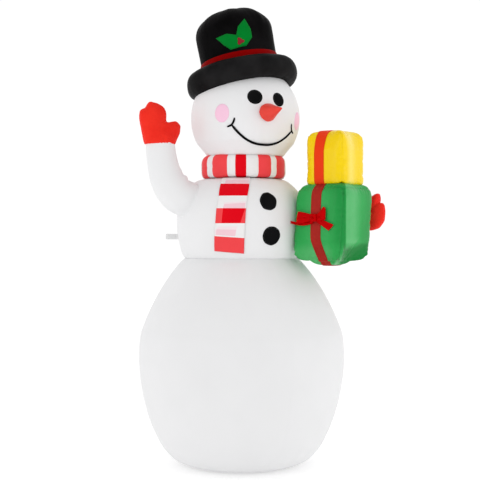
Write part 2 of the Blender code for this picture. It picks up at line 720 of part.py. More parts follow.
def left_arm(white, red, shoulder):
    points = [(0.272, 0.022, 1.332), (0.345, 0.014, 1.330), (0.420, -0.036, 1.322),
              (0.469, -0.133, 1.310), (0.5160, -0.232, 1.300)]
    limb = arm("arm_gift", points, [0.080, 0.080, 0.074, 0.066, 0.062], white)
    fingers = Vector((math.cos(GIFT_YAW), math.sin(GIFT_YAW), 0))
    thumb = Vector((0, 0, 1))
    axes = Matrix((thumb, fingers.cross(thumb), fingers)).transposed().to_4x4()
    hand = mitten("mitten_gift", Matrix.Translation((0.5200, -0.243, 1.300)) @ axes, 0.92, red)
    hang(shoulder, limb, hand)


# ---- Gift boxes ----
def puffed_box(name, centre, half, heights, puffs, air_hole, material):
    """A box with crowned faces and one cell left open, where the air comes in."""
    side_puff, top_puff, bottom_puff = puffs
    bm = bmesh.new()
    bmesh.ops.create_cube(bm, size=2)
    bmesh.ops.subdivide_edges(bm, edges=bm.edges[:], cuts=3, use_grid_fill=True)
    middle, tall = sum(heights) / 2, (heights[1] - heights[0]) / 2
    frame = Matrix.Translation((*centre, middle)) @ Matrix.Rotation(GIFT_YAW, 4, "Z")
    hole = Vector(air_hole)
    opened = [face for face in bm.faces if (face.calc_center_median() - hole).length < 0.4]
    bmesh.ops.delete(bm, geom=opened, context="FACES")
    for vert in bm.verts:
        x, y, z = vert.co
        out_x = half + side_puff * (1 - y * y) * (1 - z * z)
        out_y = half + side_puff * (1 - x * x) * (1 - z * z)
        out_z = tall + (top_puff if z > 0 else bottom_puff) * (1 - x * x) * (1 - y * y)
        vert.co = frame @ Vector((x * out_x, y * out_y, z * out_z))
    return add(name, bm, material, FABRIC)


def box_front(centre, half, heights, puff):
    """Maker of place(u, z, lift) on the face that the ribbon crosses."""
    middle, tall = sum(heights) / 2, (heights[1] - heights[0]) / 2
    frame = Matrix.Translation((*centre, middle)) @ Matrix.Rotation(GIFT_YAW, 4, "Z")

    def place(u, z, lift=0.003):
        crown = puff * (1 - (u / half) ** 2) * (1 - ((z - middle) / tall) ** 2)
        return frame @ Vector((u, -half - crown - lift, z - middle))
    return place


def ribbon(label, place, heights, material):
    """A flat strip over the full height of a box."""
    columns = [RIBBON_OFFSET + RIBBON_WIDTH / 2 * side for side in (-1, 0, 1)]
    rows = [heights[0] + (heights[1] - heights[0]) * k / 8 for k in range(9)]
    return add(f"ribbon_{label}", strip(columns, rows, place), material, 0.001, outward=True)


def bow(place, red):
    """A knot with two loops and two tails, standing on the green box's ribbon."""
    shapes = {
        "bow_knot": ([(-0.0135, 1.240, 0.022), (-0.0135, 1.264, 0.024), (-0.0135, 1.286, 0.022)],
                     [0.014, 0.017, 0.014]),
        "bow_loop_right": ([(-0.034, 1.264, 0.022), (-0.070, 1.264, 0.028), (-0.112, 1.266, 0.026)],
                           [0.012, 0.020, 0.017]),
        "bow_loop_left": ([(0.014, 1.272, 0.022), (0.032, 1.291, 0.028), (0.048, 1.309, 0.026)],
                          [0.012, 0.019, 0.014]),
        "bow_tail_right": ([(-0.034, 1.240, 0.014), (-0.098, 1.238, 0.038), (-0.145, 1.250, 0.074)],
                           [0.006, 0.006, 0.004]),
        "bow_tail_left": ([(0.008, 1.246, 0.014), (0.045, 1.236, 0.014), (0.085, 1.230, 0.014)],
                          [0.006, 0.009, 0.006])}
    made = []
    for name, (route, radii) in shapes.items():
        path = [place(*point) for point in route]
        made.append(add(name, tube(path, radii, 8, capped=True), red))
    return made


def gifts(green, yellow, ribbon_dark, ribbon_bright, bow_red, shoulder):
    green_front = box_front(GREEN_CENTRE, GREEN_HALF, GREEN_Z, GREEN_PUFFS[0])
    yellow_front = box_front(YELLOW_CENTRE, YELLOW_HALF, YELLOW_Z, YELLOW_PUFFS[0])
    made = [puffed_box("gift_green", GREEN_CENTRE, GREEN_HALF, GREEN_Z, GREEN_PUFFS,
                       (-0.25, 1, 0.25), green),
            puffed_box("gift_yellow", YELLOW_CENTRE, YELLOW_HALF, YELLOW_Z, YELLOW_PUFFS,
                       (0.25, 0.25, -1), yellow),
            ribbon("green", green_front, GREEN_Z, ribbon_dark),
            ribbon("yellow", yellow_front, YELLOW_Z, ribbon_bright)]
    hang(shoulder, *made, *bow(green_front, bow_red))


# ---- Assembly ----
def main():
    for old in list(bpy.data.objects):
        bpy.data.objects.remove(old, do_unlink=True)
    white = finish("white_fabric", (0.86, 0.86, 0.87), 0.55)
    black = finish("black_fabric", (0.012, 0.012, 0.014), 0.5)
    red = finish("red_fabric", (0.80, 0.02, 0.015), 0.5)
    dark_red = finish("dark_red_fabric", (0.24, 0.0, 0.0), 0.5)
    orange_red = finish("orange_red_fabric", (0.86, 0.05, 0.01), 0.5)
    pink = finish("pink_fabric", (0.93, 0.53, 0.70), 0.6)
    green = finish("green_fabric", (0.04, 0.39, 0.10), 0.45)
    leaf_green = finish("leaf_fabric", (0.0, 0.21, 0.03), 0.5)
    yellow = finish("yellow_fabric", (0.90, 0.66, 0.0), 0.45)
    sand = finish("ballast_cloth", (0.05, 0.05, 0.055), 0.8)
    webbing = finish("grey_webbing", (0.62, 0.63, 0.64), 0.8)
    plastic = finish("black_plastic", (0.02, 0.02, 0.022), 0.4)
    nylon = finish("zipper_nylon", (0.72, 0.72, 0.73), 0.45)
    steel = finish("zinc_steel", (0.55, 0.56, 0.58), 0.35, 1.0)
    clear = finish("frosted_lens", (0.90, 0.91, 0.93), 0.3)

    waist = pivot("waist_pivot", WAIST)
    neck = pivot("neck_pivot", NECK, waist)
    right = pivot("right_shoulder_pivot", RIGHT_SHOULDER, waist)
    left = pivot("left_shoulder_pivot", LEFT_SHOULDER, waist)
    tail_axis = pivot("scarf_tail_axis", torso_spot(math.radians(-34), 1.464, 0.0), waist)

    lower_body(white)
    ballast_bag(sand)
    blower(white, plastic, steel)
    zipper(white, nylon)
    hang(waist, torso(white), scarf_ring(red), *buttons(black))
    hang(tail_axis, *scarf_tails(red))
    tether_tabs(webbing, waist)
    hang(neck, head(white), nose(orange_red), *eyes_and_cheeks(black, pink), *mouth(black))
    hang(neck, *hat(black, dark_red, leaf_green, dark_red))
    lamps(plastic, clear)
    right_arm(white, red, right)
    left_arm(white, red, left)
    gifts(green, yellow, dark_red, orange_red, red, left)


main()
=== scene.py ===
import json
import math

import bmesh
import bpy
import numpy as np
from mathutils import Matrix, Vector, noise
from mathutils.bvhtree import BVHTree


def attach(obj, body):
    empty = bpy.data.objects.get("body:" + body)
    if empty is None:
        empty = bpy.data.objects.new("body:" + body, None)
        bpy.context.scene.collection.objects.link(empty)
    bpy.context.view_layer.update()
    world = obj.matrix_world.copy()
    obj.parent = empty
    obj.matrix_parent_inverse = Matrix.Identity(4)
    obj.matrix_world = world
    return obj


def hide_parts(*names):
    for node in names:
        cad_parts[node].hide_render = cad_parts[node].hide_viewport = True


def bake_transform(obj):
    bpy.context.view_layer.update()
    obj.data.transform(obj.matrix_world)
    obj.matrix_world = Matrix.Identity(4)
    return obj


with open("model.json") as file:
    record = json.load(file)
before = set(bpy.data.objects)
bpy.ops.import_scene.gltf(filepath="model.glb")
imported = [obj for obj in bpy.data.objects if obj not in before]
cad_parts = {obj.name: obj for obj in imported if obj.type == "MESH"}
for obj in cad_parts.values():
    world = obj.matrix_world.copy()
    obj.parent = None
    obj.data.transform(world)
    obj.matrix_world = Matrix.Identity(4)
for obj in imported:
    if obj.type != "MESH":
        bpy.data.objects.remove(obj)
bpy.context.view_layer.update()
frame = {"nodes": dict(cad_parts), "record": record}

# Looks of the inflatable yard snowman, in metres, in the frame of the CAD part: +Z up, face along -Y.


# ---- Places that the CAD part also has ----
HEAD = Vector((0, -0.047, 1.79))
HEAD_RADIUS = 0.283
FACE = Matrix.Translation(HEAD) @ Matrix.Rotation(math.radians(3.0), 4, "Y") @ Matrix.Rotation(
    math.radians(-3.5), 4, "Z")
WAIST_Z = 1.0655
TORSO_RADIUS = 0.3386
SCARF = Vector((0, -0.022, 1.5375))
HAT_SEAT = Vector((-0.0104, -0.0283, 1.998))
HAT_AXIS = Vector((-0.1278, 0.1402, 1.0)).normalized()
HAT_SIDE = Vector((0, 1, 0)).cross(HAT_AXIS).normalized()
HAT = Matrix.Translation(HAT_SEAT) @ Matrix(
    (HAT_SIDE, HAT_AXIS.cross(HAT_SIDE), HAT_AXIS)).transposed().to_4x4()
CROWN_RADIUS = 0.199
GIFT_YAW = math.radians(-62.8)
BLOWER_Z = 0.17
PORT_RADIUS = 0.0912
BLOWER = Matrix.Translation((0, 0, BLOWER_Z)) @ Matrix.Rotation(math.radians(-90), 4, "X")
# Level directions of the front view: away from the camera, and across it to the right.
AWAY = Vector((0.438, 0.899, 0))
ACROSS = Vector((0.899, -0.438, 0))
# Skins that lie between two bodies: the bodies, where the bend starts and where it ends; these skins stay
# fixed in place.
WAIST_BEND = ("base", "torso", (0, 0, WAIST_Z), (0, 0, 1.135))
NECK_BEND = ("torso", "head", (0, 0, 1.598), (0, 0, 1.640))
TAILS_BEND = ("torso", "scarf_tails", (0, 0, 1.474), (0, 0, 1.424))


# ---- Small helpers ----
def smooth(points, spans):
    """A Catmull-Rom curve through the points, in `spans` steps between each two."""
    knots = [Vector(point) for point in points]
    knots = [2 * knots[0] - knots[1], *knots, 2 * knots[-1] - knots[-2]]
    curve = []
    for i in range(1, len(knots) - 2):
        a, b, c, d = knots[i - 1:i + 3]
        for k in range(spans):
            t = k / spans
            bend = (2 * a - 5 * b + 4 * c - d) * t ** 2 + (3 * b - a - 3 * c + d) * t ** 3
            curve.append((2 * b + (c - a) * t + bend) / 2)
    curve.append(knots[-2])
    return curve


def flat_curve(points, spans):
    """The same kind of curve through flat points, as pairs."""
    return [(p.x, p.y) for p in smooth([(*point, 0) for point in points], spans)]


def smooth_values(values, spans):
    return [p.x for p in smooth([(value, 0, 0) for value in values], spans)]


def even(points, step):
    """The same line with points at an even spacing of about `step`."""
    points = [Vector(p) for p in points]
    lengths = [0.0]
    for a, b in zip(points, points[1:]):
        lengths.append(lengths[-1] + (b - a).length)
    count = max(2, round(lengths[-1] / step))
    result, i = [], 0
    for k in range(count + 1):
        s = lengths[-1] * k / count
        while i < len(points) - 2 and lengths[i + 1] < s:
            i += 1
        t = (s - lengths[i]) / max(lengths[i + 1] - lengths[i], 1e-9)
        result.append(points[i].lerp(points[i + 1], min(t, 1.0)))
    return result


def mix(a, b, t):
    return a + (b - a) * t


def soft_step(t):
    t = min(max(t, 0.0), 1.0)
    return t * t * (3 - 2 * t)


def perlin(*coords):
    return noise.noise(Vector(coords))


def ring_noise(turn, scale, third):
    """Noise that meets itself after a full turn."""
    return perlin(math.cos(turn) * scale, math.sin(turn) * scale, third)


def turned_point(angle, radius, height):
    """A point by its angle, its distance from the Z axis and its height."""
    return Vector((radius * math.cos(angle), radius * math.sin(angle), height))


def circle(count):
    """The angles of a full turn, in `count` steps."""
    return [2 * math.pi * k / count for k in range(count)]


def squarish(angle, power):
    """A point of a rounded square that fills more of its corners as the power grows."""
    c, q = math.cos(angle), math.sin(angle)
    size = (abs(c) ** power + abs(q) ** power) ** (-1 / power)
    return c * size, q * size


def radius_at(curve, z, above):
    """The radius at a height of an outline of (radius, height); `above` is the answer over its top."""
    if z < curve[0][1]:
        return curve[0][0]
    for (r0, z0), (r1, z1) in zip(curve, curve[1:]):
        if z0 <= z <= z1:
            return mix(r0, r1, (z - z0) / max(z1 - z0, 1e-9))
    return above


def pucker(turn, distance, count, reach, seed=0.0):
    """Folds that run away from a sewn seam: `turn` is the angle along it, `distance` the way from it."""
    k = count / 6.28
    fold = ring_noise(turn, k, seed + distance * 3)
    fine = perlin(math.cos(turn) * 2.3 * k, math.sin(turn) * 2.3 * k, seed + 9 + distance * 5)
    return (fold + 0.5 * fine) * math.exp(-max(distance, 0) / reach)


def gore_groove(turn, radius, count):
    """1 on one of `count` upright seams, falling to 0 some 15 mm from it."""
    share = abs((turn * count / (2 * math.pi) + 0.5) % 1 - 0.5)
    return math.exp(-(share * 2 * math.pi / count * radius / 0.008) ** 2)


def new_object(name, verts, faces, materials, index=None):
    mesh = bpy.data.meshes.new(name)
    mesh.from_pydata([tuple(v) for v in verts], [], faces)
    mesh.validate()
    for material in materials if isinstance(materials, list) else [materials]:
        mesh.materials.append(material)
    if index is not None:
        mesh.polygons.foreach_set("material_index", index)
    mesh.shade_smooth()
    mesh.update()
    obj = bpy.data.objects.new(name, mesh)
    bpy.context.scene.collection.objects.link(obj)
    return obj


def faces_outward(obj):
    bm = bmesh.new()
    bm.from_mesh(obj.data)
    bmesh.ops.recalc_face_normals(bm, faces=bm.faces[:])
    bm.to_mesh(obj.data)
    bm.free()


def loft(name, rings, materials, loop=False, caps=(False, False), pick=None):
    """A skin through rings of points, which turn anticlockwise about the way the rings advance."""
    count = len(rings[0])
    verts = [p for ring in rings for p in ring]
    faces, index = [], []
    pairs = [(k, k + 1) for k in range(len(rings) - 1)]
    if loop:
        pairs.append((len(rings) - 1, 0))
    for low, high in pairs:
        for i in range(count):
            j = (i + 1) % count
            faces.append((low * count + i, low * count + j, high * count + j, high * count + i))
            index.append(pick(low, i) if pick else 0)
    for place, wanted in ((0, caps[0]), (len(rings) - 1, caps[1])):
        if wanted:
            centre = sum((Vector(p) for p in rings[place]), Vector()) / count
            verts.append(centre)
            for i in range(count):
                j = (i + 1) % count
                a, b = place * count + i, place * count + j
                faces.append((len(verts) - 1, b, a) if place == 0 else (len(verts) - 1, a, b))
                index.append(0)
    return new_object(name, verts, faces, materials, index)


def strip(name, upper, lower, materials, pick=None):
    """A thin cloth between two grids of points, with all four edges closed."""
    rows, width = len(upper), len(upper[0])
    verts = [p for line in upper for p in line] + [p for line in lower for p in line]
    under = rows * width
    faces, index = [], []
    for r in range(rows - 1):
        for c in range(width - 1):
            a, b = r * width + c, r * width + c + 1
            choice = pick(r, c) if pick else 0
            faces += [(a, b, b + width, a + width),
                      (under + a, under + a + width, under + b + width, under + b)]
            index += [choice, choice]
    rim = list(range(width)) + [r * width + width - 1 for r in range(1, rows)]
    rim += [(rows - 1) * width + c for c in range(width - 2, -1, -1)]
    rim += [r * width for r in range(rows - 2, 0, -1)]
    for a, b in zip(rim, rim[1:] + rim[:1]):
        faces.append((a, under + a, under + b, b))
        index.append(pick(min(a // width, rows - 2), min(a % width, width - 2)) if pick else 0)
    made = new_object(name, verts, faces, materials, index)
    faces_outward(made)
    return made


def lobe(name, outline, steps, material, frame_matrix=Matrix(), swell=None, caps=(False, False)):
    """An outline of (radius, height) turned about the frame's Z, with a swell along the outward normal."""
    rings = []
    last = len(outline) - 1
    for i, (radius, height) in enumerate(outline):
        before, after = Vector(outline[max(i - 1, 0)]), Vector(outline[min(i + 1, last)])
        along = (after - before).normalized()
        ring = []
        for a in circle(steps):
            rise = swell(a, radius, height) if swell else 0.0
            r, z = radius + along.y * rise, height - along.x * rise
            ring.append(frame_matrix @ turned_point(a, r, z))
        rings.append(ring)
    return loft(name, rings, material, caps=caps)


def tube(name, path, radii, steps, material, flats, flat_way, swell=None, caps=(True, True)):
    """A tube along a path, with a radius and a flatness along flat_way for each of its points."""
    rings = []
    last = len(path) - 1
    side = flat_way
    for i, point in enumerate(path):
        ahead = (path[min(i + 1, last)] - path[max(i - 1, 0)]).normalized()
        side = (side - ahead * side.dot(ahead)).normalized()
        up = ahead.cross(side)
        ring = []
        for a in circle(steps):
            reach = radii[i] + (swell(i, a) if swell else 0.0)
            ring.append(point + side * (math.cos(a) * reach * flats[i]) + up * (math.sin(a) * reach))
        rings.append(ring)
    return loft(name, rings, material, caps=caps)


def stitches(name, line, material, length=0.004, gap=0.003, width=0.0011, height=0.0007):
    """A row of short threads along a line of (point, normal)."""
    points = [Vector(p) for p, _ in line]
    normals = [Vector(n).normalized() for _, n in line]
    total, marks = 0.0, [0.0]
    for a, b in zip(points, points[1:]):
        total += (b - a).length
        marks.append(total)
    count = max(1, int(total / (length + gap)))
    verts, faces = [], []

    def at(s):
        i = min(max(int(np.searchsorted(marks, s)) - 1, 0), len(points) - 2)
        t = (s - marks[i]) / max(marks[i + 1] - marks[i], 1e-9)
        return points[i].lerp(points[i + 1], t), normals[i].lerp(normals[i + 1], t).normalized()
    for k in range(count):
        start = (length + gap) * k + gap / 2
        base = len(verts)
        for j, (share, rise) in enumerate(((0.0, -0.2), (0.25, 1.0), (0.75, 1.0), (1.0, -0.2))):
            p, n = at(start + length * share)
            q, _ = at(start + length * share + 0.0005)
            across = (q - p).cross(n).normalized() * width / 2
            lift = n * height * rise
            verts += [p + across * 0.7 + lift, p - across * 0.7 + lift, p - across - n * 0.0006,
                      p + across - n * 0.0006]
            if j:
                for m in range(4):
                    a, b = base + 4 * (j - 1) + m, base + 4 * (j - 1) + (m + 1) % 4
                    faces.append((a, a + 4, b + 4, b))
        faces.append((base, base + 1, base + 2, base + 3))
        faces.append((base + 15, base + 14, base + 13, base + 12))
    return new_object(name, verts, faces, material)


def bake_modifiers(obj):
    bpy.context.view_layer.update()
    result = bpy.data.meshes.new_from_object(
        obj.evaluated_get(bpy.context.evaluated_depsgraph_get()))
    obj.modifiers.clear()
    obj.data = result
    result.shade_smooth()


def cut_away(obj, cutter):
    """Boolean difference, applied; the cutter goes."""
    change = obj.modifiers.new("cut", "BOOLEAN")
    change.object = cutter
    change.operation = "DIFFERENCE"
    bake_modifiers(obj)
    bpy.data.objects.remove(cutter)


def fit(made, body, slot, *replaced, fill=None):
    """The piece rides on a body, or stays fixed where it is when `body` is a bend, and takes the place of CAD
    nodes.
    """
    if isinstance(body, tuple):
        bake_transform(made)
    else:
        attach(made, body)
    if replaced:
        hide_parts(*replaced)


# ---- Materials ----
# Metres between the bands of a wave texture of scale 1.
WAVE_STEP = 0.314
# Heights between which a gift's skin turns under, and places across the view of the gifts' near edge; below
# them the gift cloth gets painted shade on one side of the edge and a lighter painted tone on the other.
GIFT_PAINTED_SHADE_HEIGHTS = (1.150, 1.105)
GIFT_EDGE = (0.495, 0.515)


def feed(tree, target, inputs):
    """Each input gets another node's output or a value of its own."""
    for socket, value in inputs.items():
        if isinstance(value, bpy.types.NodeSocket):
            tree.links.new(value, target.inputs[socket])
        else:
            target.inputs[socket].default_value = value


def wire(tree, kind, inputs=None, output=0, **settings):
    """A new shader node, fed; its output is returned."""
    made = tree.nodes.new("ShaderNode" + kind)
    for key, value in settings.items():
        setattr(made, key, value)
    feed(tree, made, inputs or {})
    return made.outputs[output]


def noise_at(tree, place, scale, detail=2.0):
    return wire(tree, "TexNoise", {"Vector": place, "Scale": scale, "Detail": detail})


def spread(tree, value, low, high, start=0.0, end=1.0, **settings):
    """The value carried from start..end to low..high."""
    return wire(tree, "MapRange", {"Value": value, "From Min": start, "From Max": end, "To Min": low,
                                   "To Max": high}, **settings)


def colour_ramp(tree, amount, stops):
    output = wire(tree, "ValToRGB", {"Fac": amount})
    elements = output.node.color_ramp.elements
    for _ in stops[2:]:
        elements.new(0.5)
    for element, (spot, colour) in zip(elements, stops):
        element.position = spot
        element.color = (*colour, 1)
    return output


def bump(tree, height, strength, distance, over=None):
    inputs = {"Height": height, "Strength": strength, "Distance": distance}
    if over:
        inputs["Normal"] = over
    return wire(tree, "Bump", inputs)


def blank_material(name):
    """A new material, its node tree, its shader, and the place on the object."""
    material = bpy.data.materials.new(name)
    material.use_nodes = True
    tree = material.node_tree
    return material, tree, tree.nodes["Principled BSDF"], wire(tree, "TexCoord", output="Object")


def tone_and_painted_light(tree, place, noise_tone, bands, turned):
    """Tone with painted light for gift cloth: upright bands of painted highlight and painted shade over the
    cloth's own uneven tone, and painted shade where the skin turns under.
    Each band is a place across the front view in metres and a tone from 0 to 1; `turned` holds the painted
    shift left and right of the gifts' near edge."""
    start, end = bands[0][0], bands[-1][0]
    across = wire(tree, "VectorMath", {0: place, 1: ACROSS}, "Value", operation="DOT_PRODUCT")
    stops = [((spot - start) / (end - start), (tone, tone, tone)) for spot, tone in bands]
    upright = colour_ramp(tree, spread(tree, across, 0, 1, start, end), stops)
    height = wire(tree, "SeparateXYZ", {"Vector": place}, "Z")
    # painted shade where the skin turns under, with a painted lighter tone on the other side of the near edge
    under = spread(tree, height, 0, 1, *GIFT_PAINTED_SHADE_HEIGHTS)
    side = spread(tree, across, *turned, *GIFT_EDGE)
    shifted = wire(tree, "Math", {0: under, 1: side, 2: upright}, operation="MULTIPLY_ADD")
    share = 0.35
    uneven = wire(tree, "Math", {0: noise_tone, 1: share, 2: shifted}, operation="MULTIPLY_ADD")
    return wire(tree, "Math", {0: uneven, 1: share / 2}, operation="SUBTRACT")


def woven(name, colour, roughness=0.5, specular=0.2, variation=0.05, thread=0.0022, weave=0.35,
          crinkle=0.25, second=None, bands=None, turned=(0, 0), light=None):
    """Coated woven cloth: a plain weave in bump, a slow change of tone, and fine crinkles; with bands, also
    painted highlight and painted shade.
    """
    material, tree, shader, place = blank_material(name)
    dark = second or tuple(c * (1 - 2 * variation) for c in colour)
    tone = noise_at(tree, place, 5.0, 4.0)
    stops = ((0.32, dark), (0.62, colour))
    # painted light: the bands run from the dark colour as painted shade up to the light colour as painted
    # highlight
    if bands:
        tone = tone_and_painted_light(tree, place, tone, bands, turned)
        stops = ((0.0, dark), (0.5, colour), (1.0, light))
    # level threads by height, upright threads by whichever of X and Y the surface runs along
    x, y, z = [wire(tree, "TexWave", {"Vector": place, "Scale": WAVE_STEP / thread}, "Fac",
                    bands_direction=way) for way in "XYZ"]
    normal = wire(tree, "NewGeometry", output="Normal")
    facing = wire(tree, "Math", {0: wire(tree, "SeparateXYZ", {"Vector": normal}, "X")}, operation="ABSOLUTE")
    upright = wire(tree, "Mix", {"Factor": facing, 2: x, 3: y}, data_type="FLOAT")
    threads = wire(tree, "Math", {0: upright, 1: z}, operation="MULTIPLY")
    fine = bump(tree, threads, weave, 0.0003)
    feed(tree, shader, {
        "Base Color": colour_ramp(tree, tone, stops),
        "Roughness": spread(tree, noise_at(tree, place, 22.0), roughness - 0.06, roughness + 0.08),
        "Specular IOR Level": specular,
        "Normal": bump(tree, noise_at(tree, place, 28.0, 5.0), crinkle, 0.004, fine)})
    return material


def moulded(name, colour, roughness, specular=0.4, metallic=0.0, grain=900.0):
    """Moulded plastic or plated metal with a fine grain."""
    material, tree, shader, place = blank_material(name)
    blot = noise_at(tree, place, 30.0)
    stops = ((0.0, [c * 0.8 for c in colour]), (1.0, [min(c * 1.1, 1.0) for c in colour]))
    feed(tree, shader, {
        "Base Color": colour_ramp(tree, blot, stops),
        "Roughness": spread(tree, blot, roughness - 0.08, roughness + 0.1),
        "Specular IOR Level": specular,
        "Metallic": metallic,
        "Normal": bump(tree, noise_at(tree, place, grain), 0.4, 0.0001)})
    return material


WHITE = woven("white_cloth", (0.805, 0.805, 0.812), 0.55, 0.25, 0.008, crinkle=0.10)
SCARF_WHITE = woven("scarf_white_cloth", (0.835, 0.82, 0.82), 0.55, 0.2, 0.01)
PALE_PINK = woven("ghost_pink_cloth", (0.88, 0.60, 0.66), 0.55, 0.2, 0.03)
FAINT_PINK = woven("faint_pink_cloth", (0.88, 0.75, 0.78), 0.55, 0.2, 0.02)
LIGHT_RED = woven("light_red_cloth", (0.88, 0.062, 0.070), 0.5, 0.1, 0.04)
DEEP_RED = woven("deep_red_cloth", (0.76, 0.0, 0.008), 0.5, 0.06, 0.04)
MITTEN_RED = woven("mitten_cloth", (0.88, 0.030, 0.015), 0.55, 0.1, second=(0.76, 0.008, 0.004))
BAND_RED = woven("band_cloth", (0.26, 0.0, 0.0), 0.5, 0.02, 0.05)
BERRY_RED = woven("berry_cloth", (0.26, 0.014, 0.022), 0.6, 0.1, 0.08)
BOW_RED = woven("bow_cloth", (0.52, 0.0, 0.001), 0.5, 0.03, 0.1)
RIBBON_DARK = woven("ribbon_dark_cloth", (0.42, 0.020, 0.014), 0.45, 0.08, 0.15)
RIBBON_BRIGHT = woven("ribbon_bright_cloth", (0.88, 0.046, 0.006), 0.45, 0.08, 0.03)
NOSE_RED = woven("nose_cloth", (0.84, 0.055, 0.036), 0.45, 0.2, 0.08)
PINK = woven("cheek_cloth", (0.93, 0.58, 0.74), 0.6, 0.15, 0.02)
BLACK = woven("black_cloth", (0.0072, 0.0066, 0.0070), 0.45, 0.01, 0.4, crinkle=0.2)
# painted sheen: the brim uses the crown's black cloth made lighter, for the light on its upper front
BRIM_BLACK_PAINTED_SHEEN = woven("black_brim_painted_sheen_cloth", (0.0150, 0.0145, 0.0150), 0.42, 0.015, 0.45, crinkle=0.2)
PATCH_BLACK = woven("black_patch_cloth", (0.0050, 0.0050, 0.0055), 0.5, 0.03, 0.3)
# GREEN and YELLOW carry painted light: their bands are painted highlight and painted shade, the light colour
# is the painted highlight, GREEN's second colour is the painted shade, and its turned pair paints shade low
# on the right of the near edge and a lighter tone low on its left
GREEN = woven("green_cloth", (0.026, 0.37, 0.078), 0.30, 0.13, crinkle=0.35, second=(0.002, 0.20, 0.030),
              bands=((0.29, 0.42), (0.36, 0.60), (0.42, 0.50), (0.465, 0.24), (0.506, 0.16), (0.512, 0.86),
                     (0.555, 0.80), (0.600, 0.42), (0.64, 0.30)), turned=(0.20, -0.95),
              light=(0.13, 0.51, 0.19))
YELLOW = woven("yellow_cloth", (0.94, 0.66, 0.0), 0.26, 0.22, 0.03, crinkle=0.2,
               bands=((0.34, 0.45), (0.48, 0.35), (0.515, 0.45), (0.542, 1.0), (0.570, 0.55), (0.62, 0.35)),
               light=(0.97, 0.76, 0.12))
LEAF = woven("leaf_cloth", (0.0, 0.215, 0.024), 0.5, 0.03, 0.1)
WEBBING = woven("webbing", (0.76, 0.76, 0.76), 0.75, 0.2, 0.06, thread=0.0034, weave=1.0)
SAND_CLOTH = woven("ballast_canvas", (0.05, 0.05, 0.055), 0.8, 0.2, 0.2, thread=0.003, weave=0.8)
WHITE_THREAD = woven("white_thread", (0.83, 0.83, 0.84), 0.7, 0.2, 0.02, thread=0.0008)
BLACK_THREAD = woven("black_thread", (0.045, 0.045, 0.048), 0.6, 0.2, 0.1, thread=0.0008)
RED_THREAD = woven("red_thread", (0.45, 0.01, 0.01), 0.6, 0.15, 0.1, thread=0.0008)
GREEN_THREAD = woven("green_thread", (0.015, 0.17, 0.04), 0.6, 0.15, 0.1, thread=0.0008)
PLASTIC = moulded("black_moulded", (0.02, 0.02, 0.022), 0.45)
NYLON = moulded("zipper_moulded", (0.70, 0.70, 0.71), 0.45, 0.4)
ZINC = moulded("zinc_plate", (0.55, 0.56, 0.58), 0.35, 0.5, 1.0, 1500.0)
LENS = moulded("frosted_lens", (0.88, 0.89, 0.91), 0.4, 0.5)

SLOT_MATERIAL = {"white_fabric": WHITE, "ballast_cloth": SAND_CLOTH, "black_plastic": PLASTIC,
                 "zipper_nylon": NYLON, "zinc_steel": ZINC, "frosted_lens": LENS}


# ---- Lower ball ----
BALL_LINE = [(0.0, 0.0006), (0.14, 0.0006), (0.268, 0.0012), (0.318, 0.012), (0.365, 0.038), (0.415, 0.095),
             (0.451, 0.1625), (0.478, 0.2255), (0.498, 0.2885), (0.5135, 0.3515), (0.5245, 0.4145),
             (0.532, 0.4775), (0.5355, 0.572), (0.5276, 0.6665), (0.5066, 0.7295), (0.4804, 0.7925),
             (0.449, 0.8555), (0.4128, 0.9185), (0.370, 0.9815), (0.330, 1.031), (0.3005, 1.0610),
             (0.2930, WAIST_Z)]
BALL_CURVE = flat_curve(BALL_LINE, 5)
BALL_CURVE[0] = (0.001, 0.0006)
BALL_GORES = 8


def ball_swell(a, radius, height):
    """Soft folds near the waist and the bottom, and a shallow pull along the sewn gores."""
    down = WAIST_Z - height
    bumps = 0.0030 * pucker(a, down, 46, 0.07, 3.0) * soft_step(down / 0.02)
    bumps += 0.0040 * pucker(a, height, 26, 0.10, 7.0) * soft_step((height - 0.004) / 0.05)
    bumps += 0.0022 * ring_noise(a, 1.6, height * 2.4) * soft_step(height / 0.2)
    return bumps - 0.0006 * gore_groove(a, radius, BALL_GORES) * soft_step((height - 0.05) / 0.1)


def ball_radius(z):
    return radius_at(BALL_CURVE, z, BALL_CURVE[-1][0])


def ball_skin():
    """The lower ball, with a round port where the blower's sleeve goes in."""
    made = lobe("lower_ball_skin", BALL_CURVE, 256, WHITE, swell=ball_swell, caps=(True, True))
    port = [(PORT_RADIUS, 0.37), (PORT_RADIUS, 0.60)]
    cut_away(made, lobe("port_cutter", port, 96, WHITE, BLOWER, caps=(True, True)))
    fit(made, "base", "white_fabric", "lower_body", "base_panel", fill=1.0)


def ball_gores():
    """Twin rows of stitches down each gore seam of the lower ball, which stop at the port."""
    clear = 0.115
    for k in range(BALL_GORES):
        for letter, side in (("a", -1), ("b", 1)):
            line = []
            for r, z in BALL_CURVE:
                if not 0.06 < z < WAIST_Z - 0.006:
                    continue
                a = 2 * math.pi * k / BALL_GORES + side * 0.006 / r
                r += ball_swell(a, r, z)
                if Vector((r * math.cos(a), z - BLOWER_Z)).length > clear or math.sin(a) < 0:
                    line.append((turned_point(a, r, z), turned_point(a, 1, 0)))
            made = stitches(f"gore_stitches_{k}_{letter}", line, WHITE_THREAD, 0.005, 0.003, 0.0009, 0.0003)
            fit(made, "base", "white_fabric")


ball_skin()
ball_gores()


